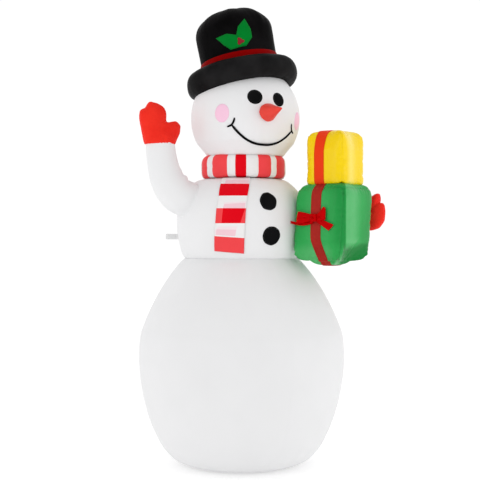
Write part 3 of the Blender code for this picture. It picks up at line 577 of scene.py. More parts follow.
# ---- Torso ----
TORSO_LINE = [(0.2950, WAIST_Z - 0.0008), (0.3015, 1.0715), (0.3125, 1.0950), (0.3225, 1.125),
              (0.3315, 1.165), (0.3370, 1.205), (0.3388, 1.245), (0.3380, 1.290), (0.3330, 1.330),
              (0.3200, 1.372), (0.2985, 1.412), (0.2710, 1.442), (0.2440, 1.4625), (0.2180, 1.4725),
              (0.1750, 1.4765), (0.1200, 1.478)]
TORSO_CURVE = flat_curve(TORSO_LINE, 6)


def torso_swell(a, radius, height):
    """Folds at the waist and under the scarf, a slow unevenness and the pull of six gores."""
    up, down = height - WAIST_Z, 1.475 - height
    bumps = 0.0032 * pucker(a, up, 46, 0.06, 3.0) * soft_step(up / 0.018)
    bumps += 0.0020 * pucker(a, down, 30, 0.05, 12.0) * soft_step(down / 0.02)
    bumps += 0.0018 * ring_noise(a, 1.9, height * 3.1)
    return bumps - 0.0005 * gore_groove(a, radius, 6)


def torso_point(azimuth, z, lift):
    """A point over the torso; the azimuth runs from the front towards +X."""
    for (r0, z0), (r1, z1) in zip(TORSO_CURVE, TORSO_CURVE[1:]):
        if z0 <= z <= z1:
            break
    radius = mix(r0, r1, (z - z0) / (z1 - z0))
    slope = Vector((z1 - z0, r0 - r1)).normalized()
    lift = lift + torso_swell(azimuth - math.pi / 2, radius, z)
    reach = radius + lift * slope.x
    return Vector((reach * math.sin(azimuth), -reach * math.cos(azimuth), z + lift * slope.y))


def waist_stitches():
    """A row of stitches round the ball, just under its seam with the torso."""
    z = WAIST_Z - 0.010
    line = []
    for degree in range(361):
        a = math.radians(degree)
        r = ball_radius(z)
        r += ball_swell(a, r, z)
        line.append((turned_point(a, r, z), turned_point(a, 1, 0.7)))
    fit(stitches("waist_stitches_low", line, WHITE_THREAD, 0.005), "base", "white_fabric")


fit(lobe("torso_skin", TORSO_CURVE, 224, WHITE, swell=torso_swell), WAIST_BEND, "white_fabric", "torso",
    fill=1.0)
waist_stitches()


# ---- Scarf ring ----
SCARF_BOUNDS = [-107.0, -85.0, -72.6, -48.3, -36.9, -22.2, -5.5, 14.3, 25.1, 53.7]
SCARF_REACH = 0.163


def scarf_bounds():
    """Seam angles round the scarf in degrees; the panels after them are red and white by turns."""
    bounds = list(SCARF_BOUNDS)
    start, end = bounds[-1], bounds[0] + 360
    pairs = 5
    white = 13.5
    red = (end - start - white * (pairs + 1)) / pairs
    a = start
    for _ in range(pairs):
        bounds += [a + white, a + white + red]
        a += white + red
    return bounds


def scarf_ring():
    """A squarish ring of red and white panels, each puffed between its seams."""
    bounds = scarf_bounds()
    columns = []
    for p, (low, high) in enumerate(zip(bounds, bounds[1:] + [bounds[0] + 360])):
        count = max(5, round((high - low) / 1.6))
        columns += [(mix(low, high, k / count), k / count, high - low, p) for k in range(count)]
    rings = []
    for t in circle(40):
        c, q = squarish(t, 3.4 if math.sin(t) > 0 else 5.0)
        ring = []
        for azimuth, share, width, p in columns:
            a = math.radians(azimuth)
            puff = math.sin(math.pi * share) ** 0.6 * min(width / 24, 1.0)
            fold = 0.0022 * pucker(t, share * width * 0.004, 12, 0.05, p * 1.7)
            fold += 0.0016 * pucker(t, (1 - share) * width * 0.004, 12, 0.05, p * 2.3)
            reach = SCARF_REACH + (0.0545 + 0.0055 * puff + fold) * c
            height = (0.0585 + 0.0030 * puff + fold) * q
            ring.append(SCARF + Vector((reach * math.sin(a), -reach * math.cos(a), height)))
        rings.append(ring)
    deep = SCARF_BOUNDS.index(-36.9)

    def pick(_, i):
        panel = columns[i][3]
        return 0 if panel % 2 else 2 if panel == deep else 1
    made = loft("scarf_ring_skin", rings, [SCARF_WHITE, LIGHT_RED, DEEP_RED], loop=True, pick=pick)
    fit(made, "torso", "red_fabric", "scarf_ring", fill=0.8)


scarf_ring()


# ---- Scarf tails ----
# Each row: height of the left and right end, centre and half width in degrees of azimuth, and the shares of
# the width where the under tail's stripe begins and ends.
TAIL_ROWS = [(1.4740, 1.4740, -32.9, 18.5, 0.16, 0.97),
             (1.4560, 1.4560, -32.9, 16.3, 0.16, 0.97),
             (1.4385, 1.4375, -33.0, 15.0, 0.16, 0.97),
             (1.3775, 1.3775, -33.6, 12.9, 0.16, 0.97),
             (1.3420, 1.3500, -34.2, 12.7, 0.22, 0.98),
             (1.3340, 1.3420, -34.4, 12.6, 0.25, 0.97),
             (1.3165, 1.3155, -34.8, 12.6, 0.23, 0.97),
             (1.2425, 1.2425, -35.6, 12.6, 0.22, 0.84),
             (1.2260, 1.2280, -35.7, 12.6, 0.10, 0.76),
             (1.2130, 1.2100, -35.9, 12.7, 0.06, 0.72),
             (1.1860, 1.1770, -36.3, 12.8, 0.04, 0.70),
             (1.1800, 1.1700, -36.4, 12.9, 0.04, 0.69),
             (1.1060, 1.0940, -37.3, 13.5, 0.04, 0.69)]
TAIL_MATERIALS = [SCARF_WHITE, FAINT_PINK, PALE_PINK, LIGHT_RED, DEEP_RED]
# Cloth of the left, middle and right columns between each two rows, by its place in TAIL_MATERIALS.
TAIL_CLOTH = [(0, 1, 0), (0, 2, 0), (4, 4, 4), (0, 0, 0), (0, 1, 0), (0, 2, 0), (3, 4, 3), (0, 0, 0),
              (0, 1, 0), (1, 2, 0), (0, 0, 0), (3, 3, 3)]


def tail_over():
    """The tail in front, with its own stripes and the under tail's showing through."""
    rows, cloth = [], []
    for low, high, kinds in zip(TAIL_ROWS, TAIL_ROWS[1:], TAIL_CLOTH):
        count = max(1, round(abs(low[0] - high[0]) / 0.006))
        rows += [[mix(a, b, j / count) for a, b in zip(low, high)] for j in range(count)]
        cloth += [kinds] * count
    rows.append(TAIL_ROWS[-1])
    spans = (5, 16, 5)
    columns = [k for k, count in enumerate(spans) for _ in range(count)]
    upper, lower = [], []
    for left_z, right_z, middle, half, begin, end in rows:
        shares = []
        for (a, b), count in zip(((0, begin), (begin, end), (end, 1)), spans):
            shares += [mix(a, b, j / count) for j in range(count)]
        line = []
        for u in [*shares, 1.0]:
            z = mix(left_z, right_z, u)
            azimuth = math.radians(middle + half * (2 * u - 1))
            wave = 0.0016 * perlin(u * 3.1, z * 9.0, 4.0) + 0.0010 * perlin(u * 9.0, z * 24.0, 1.0)
            line.append((azimuth, z, 0.0034 + 0.35 * wave))
        upper.append([torso_point(a, z, lift + 0.0007) for a, z, lift in line])
        lower.append([torso_point(a, z, lift) for a, z, lift in line])
    made = strip("scarf_tail_over_cloth", upper, lower, TAIL_MATERIALS, lambda r, c: cloth[r][columns[c]])
    fit(made, TAILS_BEND, "red_fabric", "scarf_tail_over")


def tail_under():
    """The second tail, almost hidden by the first."""
    rows, foot, top = 44, 1.112, 1.474
    upper, lower = [], []
    for k in range(rows + 1):
        z = mix(foot, top, k / rows)
        middle = math.radians(mix(-35.8, -31.4, k / rows))
        line = [middle + math.radians(10.4) * (j / 8 - 1) for j in range(17)]
        lifts = [0.0010 + 0.0004 * perlin(a * 9, z * 20, 6.0) for a in line]
        upper.append([torso_point(a, z, lift + 0.0006) for a, lift in zip(line, lifts)])
        lower.append([torso_point(a, z, lift) for a, lift in zip(line, lifts)])
    stripes = ((1.382, 1.4607), (1.246, 1.345), (1.18, 1.234))

    def pick(row, _):
        z = mix(foot, top, (row + 0.5) / rows)
        return 3 if any(a < z < b for a, b in stripes) else 0
    made = strip("scarf_tail_under_cloth", upper, lower, TAIL_MATERIALS, pick)
    fit(made, TAILS_BEND, "red_fabric", "scarf_tail_under")


tail_over()
tail_under()


# ---- Patches ----
def patch(name, outline, place, middle, lift, material, rings, thread, inset, sink, slot, body, replaced):
    """A sewn-on patch and its stitches: outline and middle are (u, v), and place(u, v, lift) lays them on
    the surface."""
    centre = Vector(middle)
    outline = [Vector(p) for p in outline]
    count = len(outline)
    verts = [place(*centre, lift)]
    for k in range(1, rings + 1):
        share = k / rings
        rise = lift * (1 - 0.55 * max(0.0, share - 0.9) / 0.1)
        verts += [place(*centre.lerp(p, share), rise) for p in outline]
    verts += [place(*centre.lerp(p, 1.004), -sink) for p in outline]
    faces = [(0, 1 + i, 1 + (i + 1) % count) for i in range(count)]
    for k in range(rings):
        low, high = 1 + k * count, 1 + (k + 1) * count
        faces += [(low + i, high + i, high + (i + 1) % count, low + (i + 1) % count) for i in range(count)]
    fit(new_object(f"{name}_patch", verts, faces, material), body, slot, replaced)
    if thread:
        line = []
        for p in [*outline, outline[0]]:
            u, v = centre.lerp(p, inset)
            base = place(u, v, lift)
            line.append((base, place(u, v, lift + 0.01) - base))
        threads = stitches(f"{name}_patch_stitches", line, thread, 0.004, 0.0025, 0.0012, 0.0006)
        fit(threads, body, slot)


def disc(radius, wobble=0.0, seed=0.0, tall=1.0):
    """A round outline, which may be uneven or taller than wide."""
    points = []
    for a in circle(64):
        r = radius * (1 + wobble * ring_noise(a, 1.8, seed))
        points.append((r * math.cos(a), r * tall * math.sin(a)))
    return points


def buttons():
    """Two round patches; u is the arc length from the front."""
    def place(u, v, lift):
        return torso_point(u / TORSO_RADIUS, v, lift)
    for name, turn, height, radius, seed in (("upper", -1.9, 1.3515, 0.0440, 2.0),
                                             ("lower", 0.6, 1.1800, 0.0465, 5.0)):
        middle = (math.radians(turn) * TORSO_RADIUS, height)
        outline = [(middle[0] + u * 1.07, middle[1] + v) for u, v in disc(radius, 0.06, seed)]
        patch(f"button_{name}", outline, place, middle, 0.0035, PATCH_BLACK, 8, BLACK_THREAD, 0.88, 0.003,
              "black_fabric", "torso", f"button_{name}")


buttons()


# ---- Head ----
def head_swell(a, height):
    """Folds where the head is gathered into the scarf, and a slow unevenness."""
    bumps = 0.0022 * pucker(a, height + 0.185, 34, 0.05, 21.0) * soft_step((height + 0.19) / 0.03)
    slow = 0.0012 * ring_noise(a, 1.7, height * 5)
    return bumps + slow * soft_step((height + 0.18) / 0.1)


def head():
    """A sphere with a gathered neck below."""
    line = flat_curve([(0.1250, -0.2010), (0.1700, -0.2005), (0.1920, -0.1975), (0.2020, -0.1900),
                       (0.2135, -0.1755), (0.2300, -0.1560), (0.2420, -0.1420)], 3)
    for k in range(45):
        a = mix(math.radians(-28.0), math.radians(78), k / 44)
        line.append((HEAD_RADIUS * math.cos(a), HEAD_RADIUS * math.sin(a)))
    made = lobe("head_skin", line, 160, WHITE, Matrix.Translation(HEAD),
                lambda a, _, height: head_swell(a, height), caps=(True, True))
    fit(made, NECK_BEND, "white_fabric", "head", fill=1.0)


head()


def face_place(azimuth, latitude):
    """Maker of place(u, v, lift) for a patch on the face centred at the given angles."""
    aim = FACE @ Matrix.Rotation(azimuth, 4, "Z") @ Matrix.Rotation(-latitude, 4, "X")

    def place(u, v, lift):
        spot = aim @ (Vector((u, -HEAD_RADIUS, v)).normalized() * HEAD_RADIUS)
        out = (spot - HEAD).normalized()
        return spot + out * (lift + head_swell(math.atan2(out.y, out.x), (spot - HEAD).z))
    return place


def face():
    for name, turn, rise, sizes, cloth, slot, thread in (
            ("eye", 13.6, 15.1, ((0.0385, 1.0), (0.0335, 1.10)), PATCH_BLACK, "black_fabric", BLACK_THREAD),
            ("cheek", 47.0, -2.6, ((0.0385, 1.2), (0.0385, 1.2)), PINK, "pink_fabric", None)):
        for side, label, (radius, tall) in ((-1, "right", sizes[0]), (1, "left", sizes[1])):
            place = face_place(math.radians(turn * side), math.radians(rise))
            patch(f"{name}_{label}", disc(radius, tall=tall), place, (0, 0), 0.0022, cloth, 8, thread, 0.80,
                  0.002, slot, "head", f"{name}_{label}")


face()


def mouth():
    """The smile and its ticks, raised black cord."""
    def spot(azimuth, latitude):
        a, b = math.radians(azimuth), math.radians(latitude)
        base = Vector((math.cos(b) * math.sin(a), -math.cos(b) * math.cos(a), math.sin(b)))
        return FACE @ (base * (HEAD_RADIUS + 0.0018))
    smile = [spot(36.3 * t, -33.3 + 18.9 * abs(t) ** 2.4) for t in (k / 36 - 1 for k in range(73))]
    strokes = [(smile, 0.0062)]
    for side in (-1, 1):
        tick = flat_curve([(41.4 * side, -16.4), (36.8 * side, -14.4), (34.4 * side, -11.0),
                           (33.4 * side, -7.2)], 6)
        strokes.append(([spot(*angles) for angles in tick], 0.0050))
    parts = []
    for k, (path, radius) in enumerate(strokes):
        radii = [radius * min(1.0, 0.45 + 0.55 * min(i, len(path) - 1 - i) / 2) for i in range(len(path))]
        flat_way = (path[0] - HEAD).normalized()
        parts.append(tube(f"mouth_stroke_{k}", path, radii, 12, PATCH_BLACK, [0.42] * len(path), flat_way))
    made = parts[0]
    bm = bmesh.new()
    for part in parts:
        bm.from_mesh(part.data)
    for part in parts[1:]:
        bpy.data.objects.remove(part)
    bm.to_mesh(made.data)
    bm.free()
    made.data.shade_smooth()
    made.name = "mouth_cord"
    fit(made, NECK_BEND, "black_fabric", "mouth")


mouth()


def nose():
    """A stuffed cone with a seam underneath."""
    line = flat_curve([(0.020, -0.004), (0.0415, 0.0), (0.0445, 0.006), (0.0435, 0.014), (0.0385, 0.032),
                       (0.0300, 0.062), (0.0215, 0.094), (0.0130, 0.128), (0.0068, 0.154), (0.0030, 0.1665),
                       (0.0006, 0.1695)], 4)

    def swell(a, radius, height):
        square = -0.035 * radius * math.cos(3 * a + 0.6)
        seam = 0.0010 * math.exp(-((math.sin((a + 0.4) / 2) * 14) ** 2))
        return square - seam + 0.0022 * radius / 0.04 * pucker(a, height - HEAD_RADIUS, 12, 0.05, 5.0)
    made = lobe("nose_cone", [(max(r, 0.0004), HEAD_RADIUS + z) for r, z in line], 64, NOSE_RED,
                FACE @ Matrix.Rotation(math.radians(90), 4, "X"), swell, caps=(True, True))
    fit(made, "head", "orange_red_fabric", "nose", fill=0.9)


nose()


# ---- Hat ----
BRIM_MIDDLE = 0.225


def brim_swell(a, radius, height):
    turn = math.atan2(height, radius - BRIM_MIDDLE)
    distance = 0.05 * max(2.0 - abs(turn), 0.0)
    slow = 0.0025 * ring_noise(a, 2.1, turn)
    return 0.0026 * pucker(a, distance, 40, 0.06, 31.0) + slow


def hat_brim():
    """A fat ring, thinner below in front and fuller at the sides."""
    line = []
    for k in range(34):
        c, q = squarish(math.radians(mix(-100, 172, k / 33)), 2.3)
        line.append((BRIM_MIDDLE + 0.065 * c, 0.064 * q))
    # the lighter brim black is a painted sheen
    made = lobe("hat_brim_skin", line, 192, BRIM_BLACK_PAINTED_SHEEN, HAT, brim_swell)
    level = HAT.inverted()
    for vert in made.data.vertices:
        spot = level @ vert.co
        side = spot.x ** 2 / (spot.x ** 2 + spot.y ** 2)
        if spot.z < 0:
            spot.z *= mix(0.84, 1.14, side)
        vert.co = HAT @ spot
    fit(made, "head", "black_fabric", "hat_brim", fill=0.9)


def crown_swell(a, radius, height):
    bumps = 0.0035 * pucker(a, abs(height - 0.285), 26, 0.05, 41.0)
    bumps += 0.0020 * pucker(a, height - 0.09, 30, 0.05, 44.0) * soft_step((height - 0.1) / 0.03)
    facet = 0.0030 * math.cos(8 * a + 0.5) * soft_step((height - 0.22) / 0.08)
    return bumps - facet * (radius / 0.2) + 0.0015 * ring_noise(a, 2, height * 6)


def hat():
    """The crown with its domed top, and the band round its foot."""
    crown = flat_curve([(0.1975, 0.020), (0.199, 0.075), (0.1995, 0.15), (0.2010, 0.22), (0.1985, 0.258),
                        (0.186, 0.290), (0.158, 0.321), (0.118, 0.344), (0.066, 0.360), (0.004, 0.366)], 6)
    fit(lobe("hat_crown_skin", crown, 192, BLACK, HAT, crown_swell, caps=(False, True)), "head",
        "black_fabric", "hat_crown", fill=0.9)
    band = flat_curve([(0.1960, 0.052), (0.2015, 0.056), (0.2030, 0.075), (0.2028, 0.093),
                       (0.2015, 0.0995), (0.1985, 0.1010)], 3)
    fit(lobe("hat_band_strip", band, 192, BAND_RED, HAT,
             lambda a, _, z: 0.0008 * ring_noise(a, 9, z * 30)),
        "head", "dark_red_fabric", "hat_band")


hat_brim()
hat()


def crown_place(u, v, lift):
    """A point over the hat's crown; u is the arc length from the front."""
    a = u / CROWN_RADIUS
    reach = 0.2005 + crown_swell(a - math.pi / 2, 0.2, v) + lift
    return HAT @ Vector((reach * math.sin(a), -reach * math.cos(a), v))


def divided(outline, step):
    """The same outline with extra points, so that no side is longer than the step."""
    points = []
    for start, end in zip(outline, [*outline[1:], outline[0]]):
        a, b = Vector(start), Vector(end)
        count = math.ceil((b - a).length / step)
        points += [a.lerp(b, k / count) for k in range(count)]
    return points


def holly():
    leaves = {"right": ([(-0.192, 0.190), (-0.173, 0.167), (-0.158, 0.146), (-0.124, 0.113),
                         (-0.056, 0.121), (-0.060, 0.150), (-0.086, 0.184), (-0.1325, 0.199)],
                        (-0.115, 0.155), 0.0026),
              "left": ([(-0.067, 0.120), (-0.044, 0.121), (-0.006, 0.162), (-0.006, 0.204),
                        (-0.029, 0.261), (-0.070, 0.224), (-0.0850, 0.184), (-0.074, 0.150)],
                       (-0.045, 0.175), 0.0036)}
    for label, (outline, middle, lift) in leaves.items():
        patch(f"holly_leaf_{label}", divided(outline, 0.004), crown_place, middle, lift, LEAF, 6,
              GREEN_THREAD, 0.9, 0.003, "leaf_fabric", "head", f"holly_leaf_{label}")
    middle = Vector((-0.070, 0.148))
    berries = []
    for a in circle(60):
        reach = 0.0165 + 0.0042 * math.cos(3 * a + 0.5) + 0.0006 * math.cos(6 * a)
        berries.append(middle + reach * Vector((math.cos(a), math.sin(a))))
    patch("holly_berries", berries, crown_place, middle, 0.0056, BERRY_RED, 6, RED_THREAD, 0.8, 0.003,
          "dark_red_fabric", "head", "holly_berries")


holly()


# ---- Inflated pieces, by cloth simulation ----
def remeshed(obj, voxel):
    change = obj.modifiers.new("voxels", "REMESH")
    change.mode = "VOXEL"
    change.voxel_size = voxel
    change.use_smooth_shade = True
    calm = obj.modifiers.new("calm", "SMOOTH")
    calm.factor = 0.5
    calm.iterations = 3
    bake_modifiers(obj)


def inflate(obj, pins, pressure, cap, steps, slack, bending):
    """Blow the closed mesh up as cloth, cap how far a point may move, and keep the result."""
    rest = np.array([v.co for v in obj.data.vertices], float)
    group = obj.vertex_groups.new(name="pins")
    for i, weight in enumerate(pins):
        if weight > 0:
            group.add([i], weight, "REPLACE")
    cloth = obj.modifiers.new("cloth", "CLOTH")
    sets = cloth.settings
    sets.quality = 5
    sets.mass = 0.15
    sets.tension_stiffness = 12.0
    sets.compression_stiffness = 12.0
    sets.shear_stiffness = 4.0
    sets.bending_stiffness = bending
    sets.air_damping = 1.0
    sets.use_pressure = True
    sets.uniform_pressure_force = pressure
    sets.shrink_min = -slack
    sets.effector_weights.gravity = 0.0
    sets.vertex_group_mass = "pins"
    sets.pin_stiffness = 1.0
    cloth.point_cache.frame_start = 1
    cloth.point_cache.frame_end = steps
    scene = bpy.context.scene
    for number in range(1, steps + 1):
        scene.frame_set(number)
    shaped = obj.evaluated_get(bpy.context.evaluated_depsgraph_get()).data
    moved = np.array([v.co for v in shaped.vertices], float)
    obj.modifiers.remove(cloth)
    scene.frame_set(1)
    way = moved - rest
    size = np.linalg.norm(way, axis=1, keepdims=True)
    limit = cap * np.tanh(size / cap) / np.maximum(size, 1e-9)
    final = rest + way * limit
    obj.data.vertices.foreach_set("co", final.ravel())
    obj.data.update()


def pillow(name, outline, middle, depth, material):
    """A closed puffed shape from a flat outline (u to local X, v to local Z); depth(v) is the half depth."""
    rings = []
    for k in range(15):
        t = k / 7 - 1
        shrink = max(max(1 - abs(t) ** 2.4, 0.0) ** 0.5, 0.16)
        ring = []
        for u, v in outline:
            hold = soft_step(v / 0.05)
            centre = Vector((mix(0.0, middle[0], hold), mix(v, middle[1], hold)))
            spot = centre + (Vector((u, v)) - centre) * shrink
            ring.append(Vector((spot.x, t * depth(spot.y), spot.y)))
        rings.append(ring)
    return loft(name, rings, material, caps=(True, True))


RAISED_MITTEN = [(-0.0785, -0.001), (-0.0887, 0.042), (-0.1050, 0.108), (-0.1080, 0.140), (-0.1045, 0.164),
                 (-0.0790, 0.181), (-0.0560, 0.212), (-0.0157, 0.205), (0.0180, 0.188), (0.0326, 0.163),
                 (0.0360, 0.112), (0.0480, 0.109), (0.0850, 0.119), (0.0935, 0.116), (0.1120, 0.095),
                 (0.1060, 0.057), (0.0865, 0.022), (0.0785, -0.001)]
GIFT_MITTEN = [(-0.0700, -0.001), (-0.0880, 0.060), (-0.0925, 0.120), (-0.0800, 0.165), (-0.0450, 0.196),
               (-0.0020, 0.202), (0.0400, 0.199), (0.0520, 0.188), (0.0500, 0.172), (0.0850, 0.172),
               (0.1030, 0.165), (0.0960, 0.140), (0.0850, 0.120), (0.0780, 0.060), (0.0700, -0.001)]


def wrinkled(x, y, z):
    """A point of a mitten moved by the seam round its edge, the folds beside it and those at the wrist."""
    spot = Vector((x, y, z))
    seam = math.exp(-(y / 0.0045) ** 2) * soft_step((z - 0.004) / 0.01)
    out = Vector((x + 0.025, 0, z - 0.095)).normalized()
    spot -= out * seam * (0.0022 + 0.0016 * perlin(x * 55, z * 55, 3.0))
    beside = math.exp(-(y / 0.020) ** 2) * soft_step((z - 0.01) / 0.02)
    spot.y += 0.0016 * beside * perlin(x * 75, y * 14, z * 75)
    spot.y += math.copysign(0.0022 * perlin(x * 26, z * 26, 8.0) * soft_step(z / 0.04), y)
    if z < 0.03:
        a = math.atan2(y, x)
        spot += 0.0016 * pucker(a, z, 30, 0.02, 2.0) * turned_point(a, 1, 0)
    return spot


def mitten(name, points, middle, frame_matrix, body, replaced):
    """An outline of straight sides with rounded corners, puffed up round its middle."""
    corners = []
    for a, b in zip(points, points[1:]):
        corners += [(mix(a[0], b[0], t), mix(a[1], b[1], t), 0) for t in (0.10, 0.90)]
    line = even([(*points[0], 0), *corners, (*points[-1], 0)], 0.006)
    line += even([(*points[-1], 0), (*points[0], 0)], 0.006)[1:-1]

    def depth(v):
        return mix(0.064, 0.040, soft_step(v / 0.12)) * (1 - 0.25 * soft_step((v - 0.15) / 0.07))
    made = pillow(name, [(p.x, p.y) for p in line], middle, depth, MITTEN_RED)
    made.data.flip_normals()
    remeshed(made, 0.0052)
    pins = [1.0 if v.co.z < 0.012 else 0.0 for v in made.data.vertices]
    inflate(made, pins, 4.0, 0.005, steps=20, slack=0.04, bending=0.3)
    half = made.modifiers.new("fine", "SUBSURF")
    half.levels = half.render_levels = 1
    bake_modifiers(made)
    for vert in made.data.vertices:
        vert.co = frame_matrix @ wrinkled(*vert.co)
    made.data.update()
    fit(made, body, "red_fabric", replaced, fill=0.9)


mitten("mitten_raised_skin", RAISED_MITTEN, (-0.030, 0.100), Matrix.Translation((-0.4588, 0, 1.6430)),
       "arm_right", "mitten_raised")
FINGERS = Vector((math.cos(GIFT_YAW), math.sin(GIFT_YAW), 0))
GIFT_HAND = Matrix.Translation((0.5200, -0.243, 1.300)) @ Matrix(
    (Vector((0, 0, 1)), FINGERS.cross(Vector((0, 0, 1))), FINGERS)).transposed().to_4x4()
mitten("mitten_gift_skin", GIFT_MITTEN, (-0.020, 0.110), GIFT_HAND, "arm_left", "mitten_gift")


# ---- Arms ----
def sleeve(name, points, radii, flats, flat_way, bend, replaced, elbow):
    """An arm with folds inside its elbow, blended softly into the torso."""
    path = smooth(points, 9)
    total = [0.0]
    for a, b in zip(path, path[1:]):
        total.append(total[-1] + (b - a).length)

    def swell(i, a):
        s = total[i]
        ends = 0.0010 * pucker(a, total[-1] - s, 26, 0.03, 8.0) + 0.0030 * pucker(a, s - 0.04, 22, 0.05, 3.0)
        ripple = math.cos((s - 0.20) * 95 + 1.5 * perlin(a * 0.8, s * 9, 1.0))
        fold = 0.0045 * math.exp(-((s - 0.20) / 0.06) ** 2) * ripple * max(0.0, math.cos(a - elbow)) ** 2
        return ends + fold + 0.0015 * ring_noise(a, 1.5, s * 9)
    made = tube(name, path, smooth_values(radii, 9), 96, WHITE, smooth_values(flats, 9), flat_way, swell)
    for vert in made.data.vertices:
        out = Vector((vert.co.x, vert.co.y, 0))
        depth = out.length - radius_at(TORSO_CURVE, vert.co.z, 0.0)
        soft = (depth + math.sqrt(depth * depth + 4 * 0.007 ** 2)) / 2 - 0.0024
        vert.co += out.normalized() * (soft - depth)
    made.data.update()
    fit(made, bend, "white_fabric", replaced, fill=1.0)


sleeve("arm_raised_skin",
       [(-0.225, 0, 1.3500), (-0.288, 0, 1.3640), (-0.350, 0, 1.3830), (-0.3935, 0, 1.4240),
        (-0.4250, 0, 1.475), (-0.4420, 0, 1.530), (-0.4530, 0, 1.590), (-0.4580, 0, 1.6360),
        (-0.4586, 0, 1.6520)],
       [0.090, 0.092, 0.0930, 0.0920, 0.0855, 0.0800, 0.0768, 0.0750, 0.0738],
       [1.0, 1.0, 0.98, 0.96, 0.93, 0.90, 0.88, 0.86, 0.84], Vector((0, 1, 0)),
       ("torso", "arm_right", (-0.255, 0, 1.366), (-0.372, 0, 1.400)), "arm_raised", -1.57)
sleeve("arm_gift_skin",
       [(0.215, 0.024, 1.336), (0.285, 0.022, 1.334), (0.350, 0.010, 1.330), (0.412, -0.034, 1.322),
        (0.448, -0.090, 1.314), (0.476, -0.150, 1.308), (0.5020, -0.205, 1.302), (0.5200, -0.243, 1.300),
        (0.5250, -0.253, 1.300)],
       [0.098, 0.094, 0.088, 0.080, 0.075, 0.072, 0.070, 0.068, 0.066],
       [1.0, 1.0, 1.0, 0.98, 0.96, 0.93, 0.90, 0.86, 0.84], Vector((-0.889, -0.457, 0)),
       ("torso", "arm_left", (0.262, 0.020, 1.33), (0.385, -0.02, 1.33)), "arm_gift", 3.1)


# ---- Gift boxes ----
def gift_spot(x, y, z, half, tall, grow, sunk, power, seed):
    """A point of a cube from -1 to 1 carried to the blown-up gift, and its distance from the nearest seam.
    The seams have small folds, the upper or lower panels draw in, and the near corners are puckered."""
    low = z if z > 0 else 0.75 * z
    widest = max(abs(x), abs(y), abs(low))
    pull = widest * (abs(x) ** power + abs(y) ** power + abs(low) ** power) ** (-1 / power)
    away = (1 - sorted((abs(x), abs(y), abs(z)))[1]) * half
    along = sorted((x, y, z), key=abs)[0]
    fold = (0.0010 + 0.0008 * sunk) * perlin(along * 9, seed, away * 16) * math.exp(-away / 0.030)
    fold += (0.0004 + 0.0010 * sunk) * perlin(along * 19, seed + 4, away * 30) * math.exp(-away / 0.016)
    fold -= 0.0025 * math.exp(-(away / 0.005) ** 2)
    wide = half * grow[0]
    spot = Vector((x * wide, y * wide, z * tall * grow[1])) * pull + Vector((x, y, z)).normalized() * fold
    drop = soft_step((-spot.z / tall - 0.40) / 0.70) * sunk * 0.45
    drop += soft_step((spot.z / tall - 0.15) / 0.95) * (1 - sunk) * 0.26
    wide *= pull
    spot.x, spot.y = (spot.x * (1 - drop * max(1 - abs(spot.y / wide) ** 1.5, 0.0)),
                      spot.y * (1 - drop * max(1 - abs(spot.x / wide) ** 1.5, 0.0)))
    if z < -0.999:
        spot.z -= 0.024 * sunk * max((1 - x * x) * (1 - y * y), 0.0) ** 0.35
    for height in (0.80, -0.86):
        gap = spot - Vector((half, -half, height * tall))
        spot -= Vector((1, -1, 0)).normalized() * 0.011 * sunk * math.exp(-(gap.length / 0.014) ** 2)
    return spot, away


def gift(name, centre, half, heights, grow, sunk, power, cloth, slot, replaced, lean, seed):
    """Six sewn panels, blown up. `sunk` tells how far the lower panels have sagged into one bulge."""
    bm = bmesh.new()
    bmesh.ops.create_cube(bm, size=2)
    bmesh.ops.subdivide_edges(bm, edges=bm.edges[:], cuts=39, use_grid_fill=True)
    middle, tall = sum(heights) / 2, (heights[1] - heights[0]) / 2
    pins, seams = [], []
    for vert in bm.verts:
        faces_met = sum(abs(c) > 0.999 for c in vert.co)
        pins.append((0.0, 0.0, 0.35, 1.0)[faces_met])
        vert.co, away = gift_spot(*vert.co, half, tall, grow, sunk, power, seed)
        seams.append(away)
    made = new_object(name, [], [], cloth)
    bm.to_mesh(made.data)
    bm.free()
    made.data.shade_smooth()
    inflate(made, pins, 2.5, 0.006, steps=18, slack=0.03, bending=0.1)
    turn = Matrix.Rotation(GIFT_YAW, 4, "Z")
    along = turn.inverted() @ ACROSS
    for vert, away in zip(made.data.vertices, seams):
        vert.co -= vert.co.normalized() * (0.0008 + 0.0020 * sunk) * math.exp(-(away / 0.0045) ** 2)
        vert.co += along * (lean * vert.co.z)
    made.data.transform(Matrix.Translation((*centre, middle)) @ turn)
    made.data.update()
    fit(made, "arm_left", slot, replaced, fill=0.9)
    return made


GREEN_SPOT = (0.3324, -0.3738)
YELLOW_SPOT = (0.3431, -0.3790)
GREEN_BOX = gift("gift_green_skin", GREEN_SPOT, 0.136, (1.075, 1.425), (1.115, 1.08), 1.0, 6.6, GREEN,
                 "green_fabric", "gift_green", 0.060, 1.0)
YELLOW_BOX = gift("gift_yellow_skin", YELLOW_SPOT, 0.102, (1.4400, 1.700), (1.10, 1.035), 0.0, 7.5, YELLOW,
                  "yellow_fabric", "gift_yellow", 0.0, 5.0)


def skin_tree(box):
    return BVHTree.FromPolygons([v.co for v in box.data.vertices],
                                [tuple(p.vertices) for p in box.data.polygons])


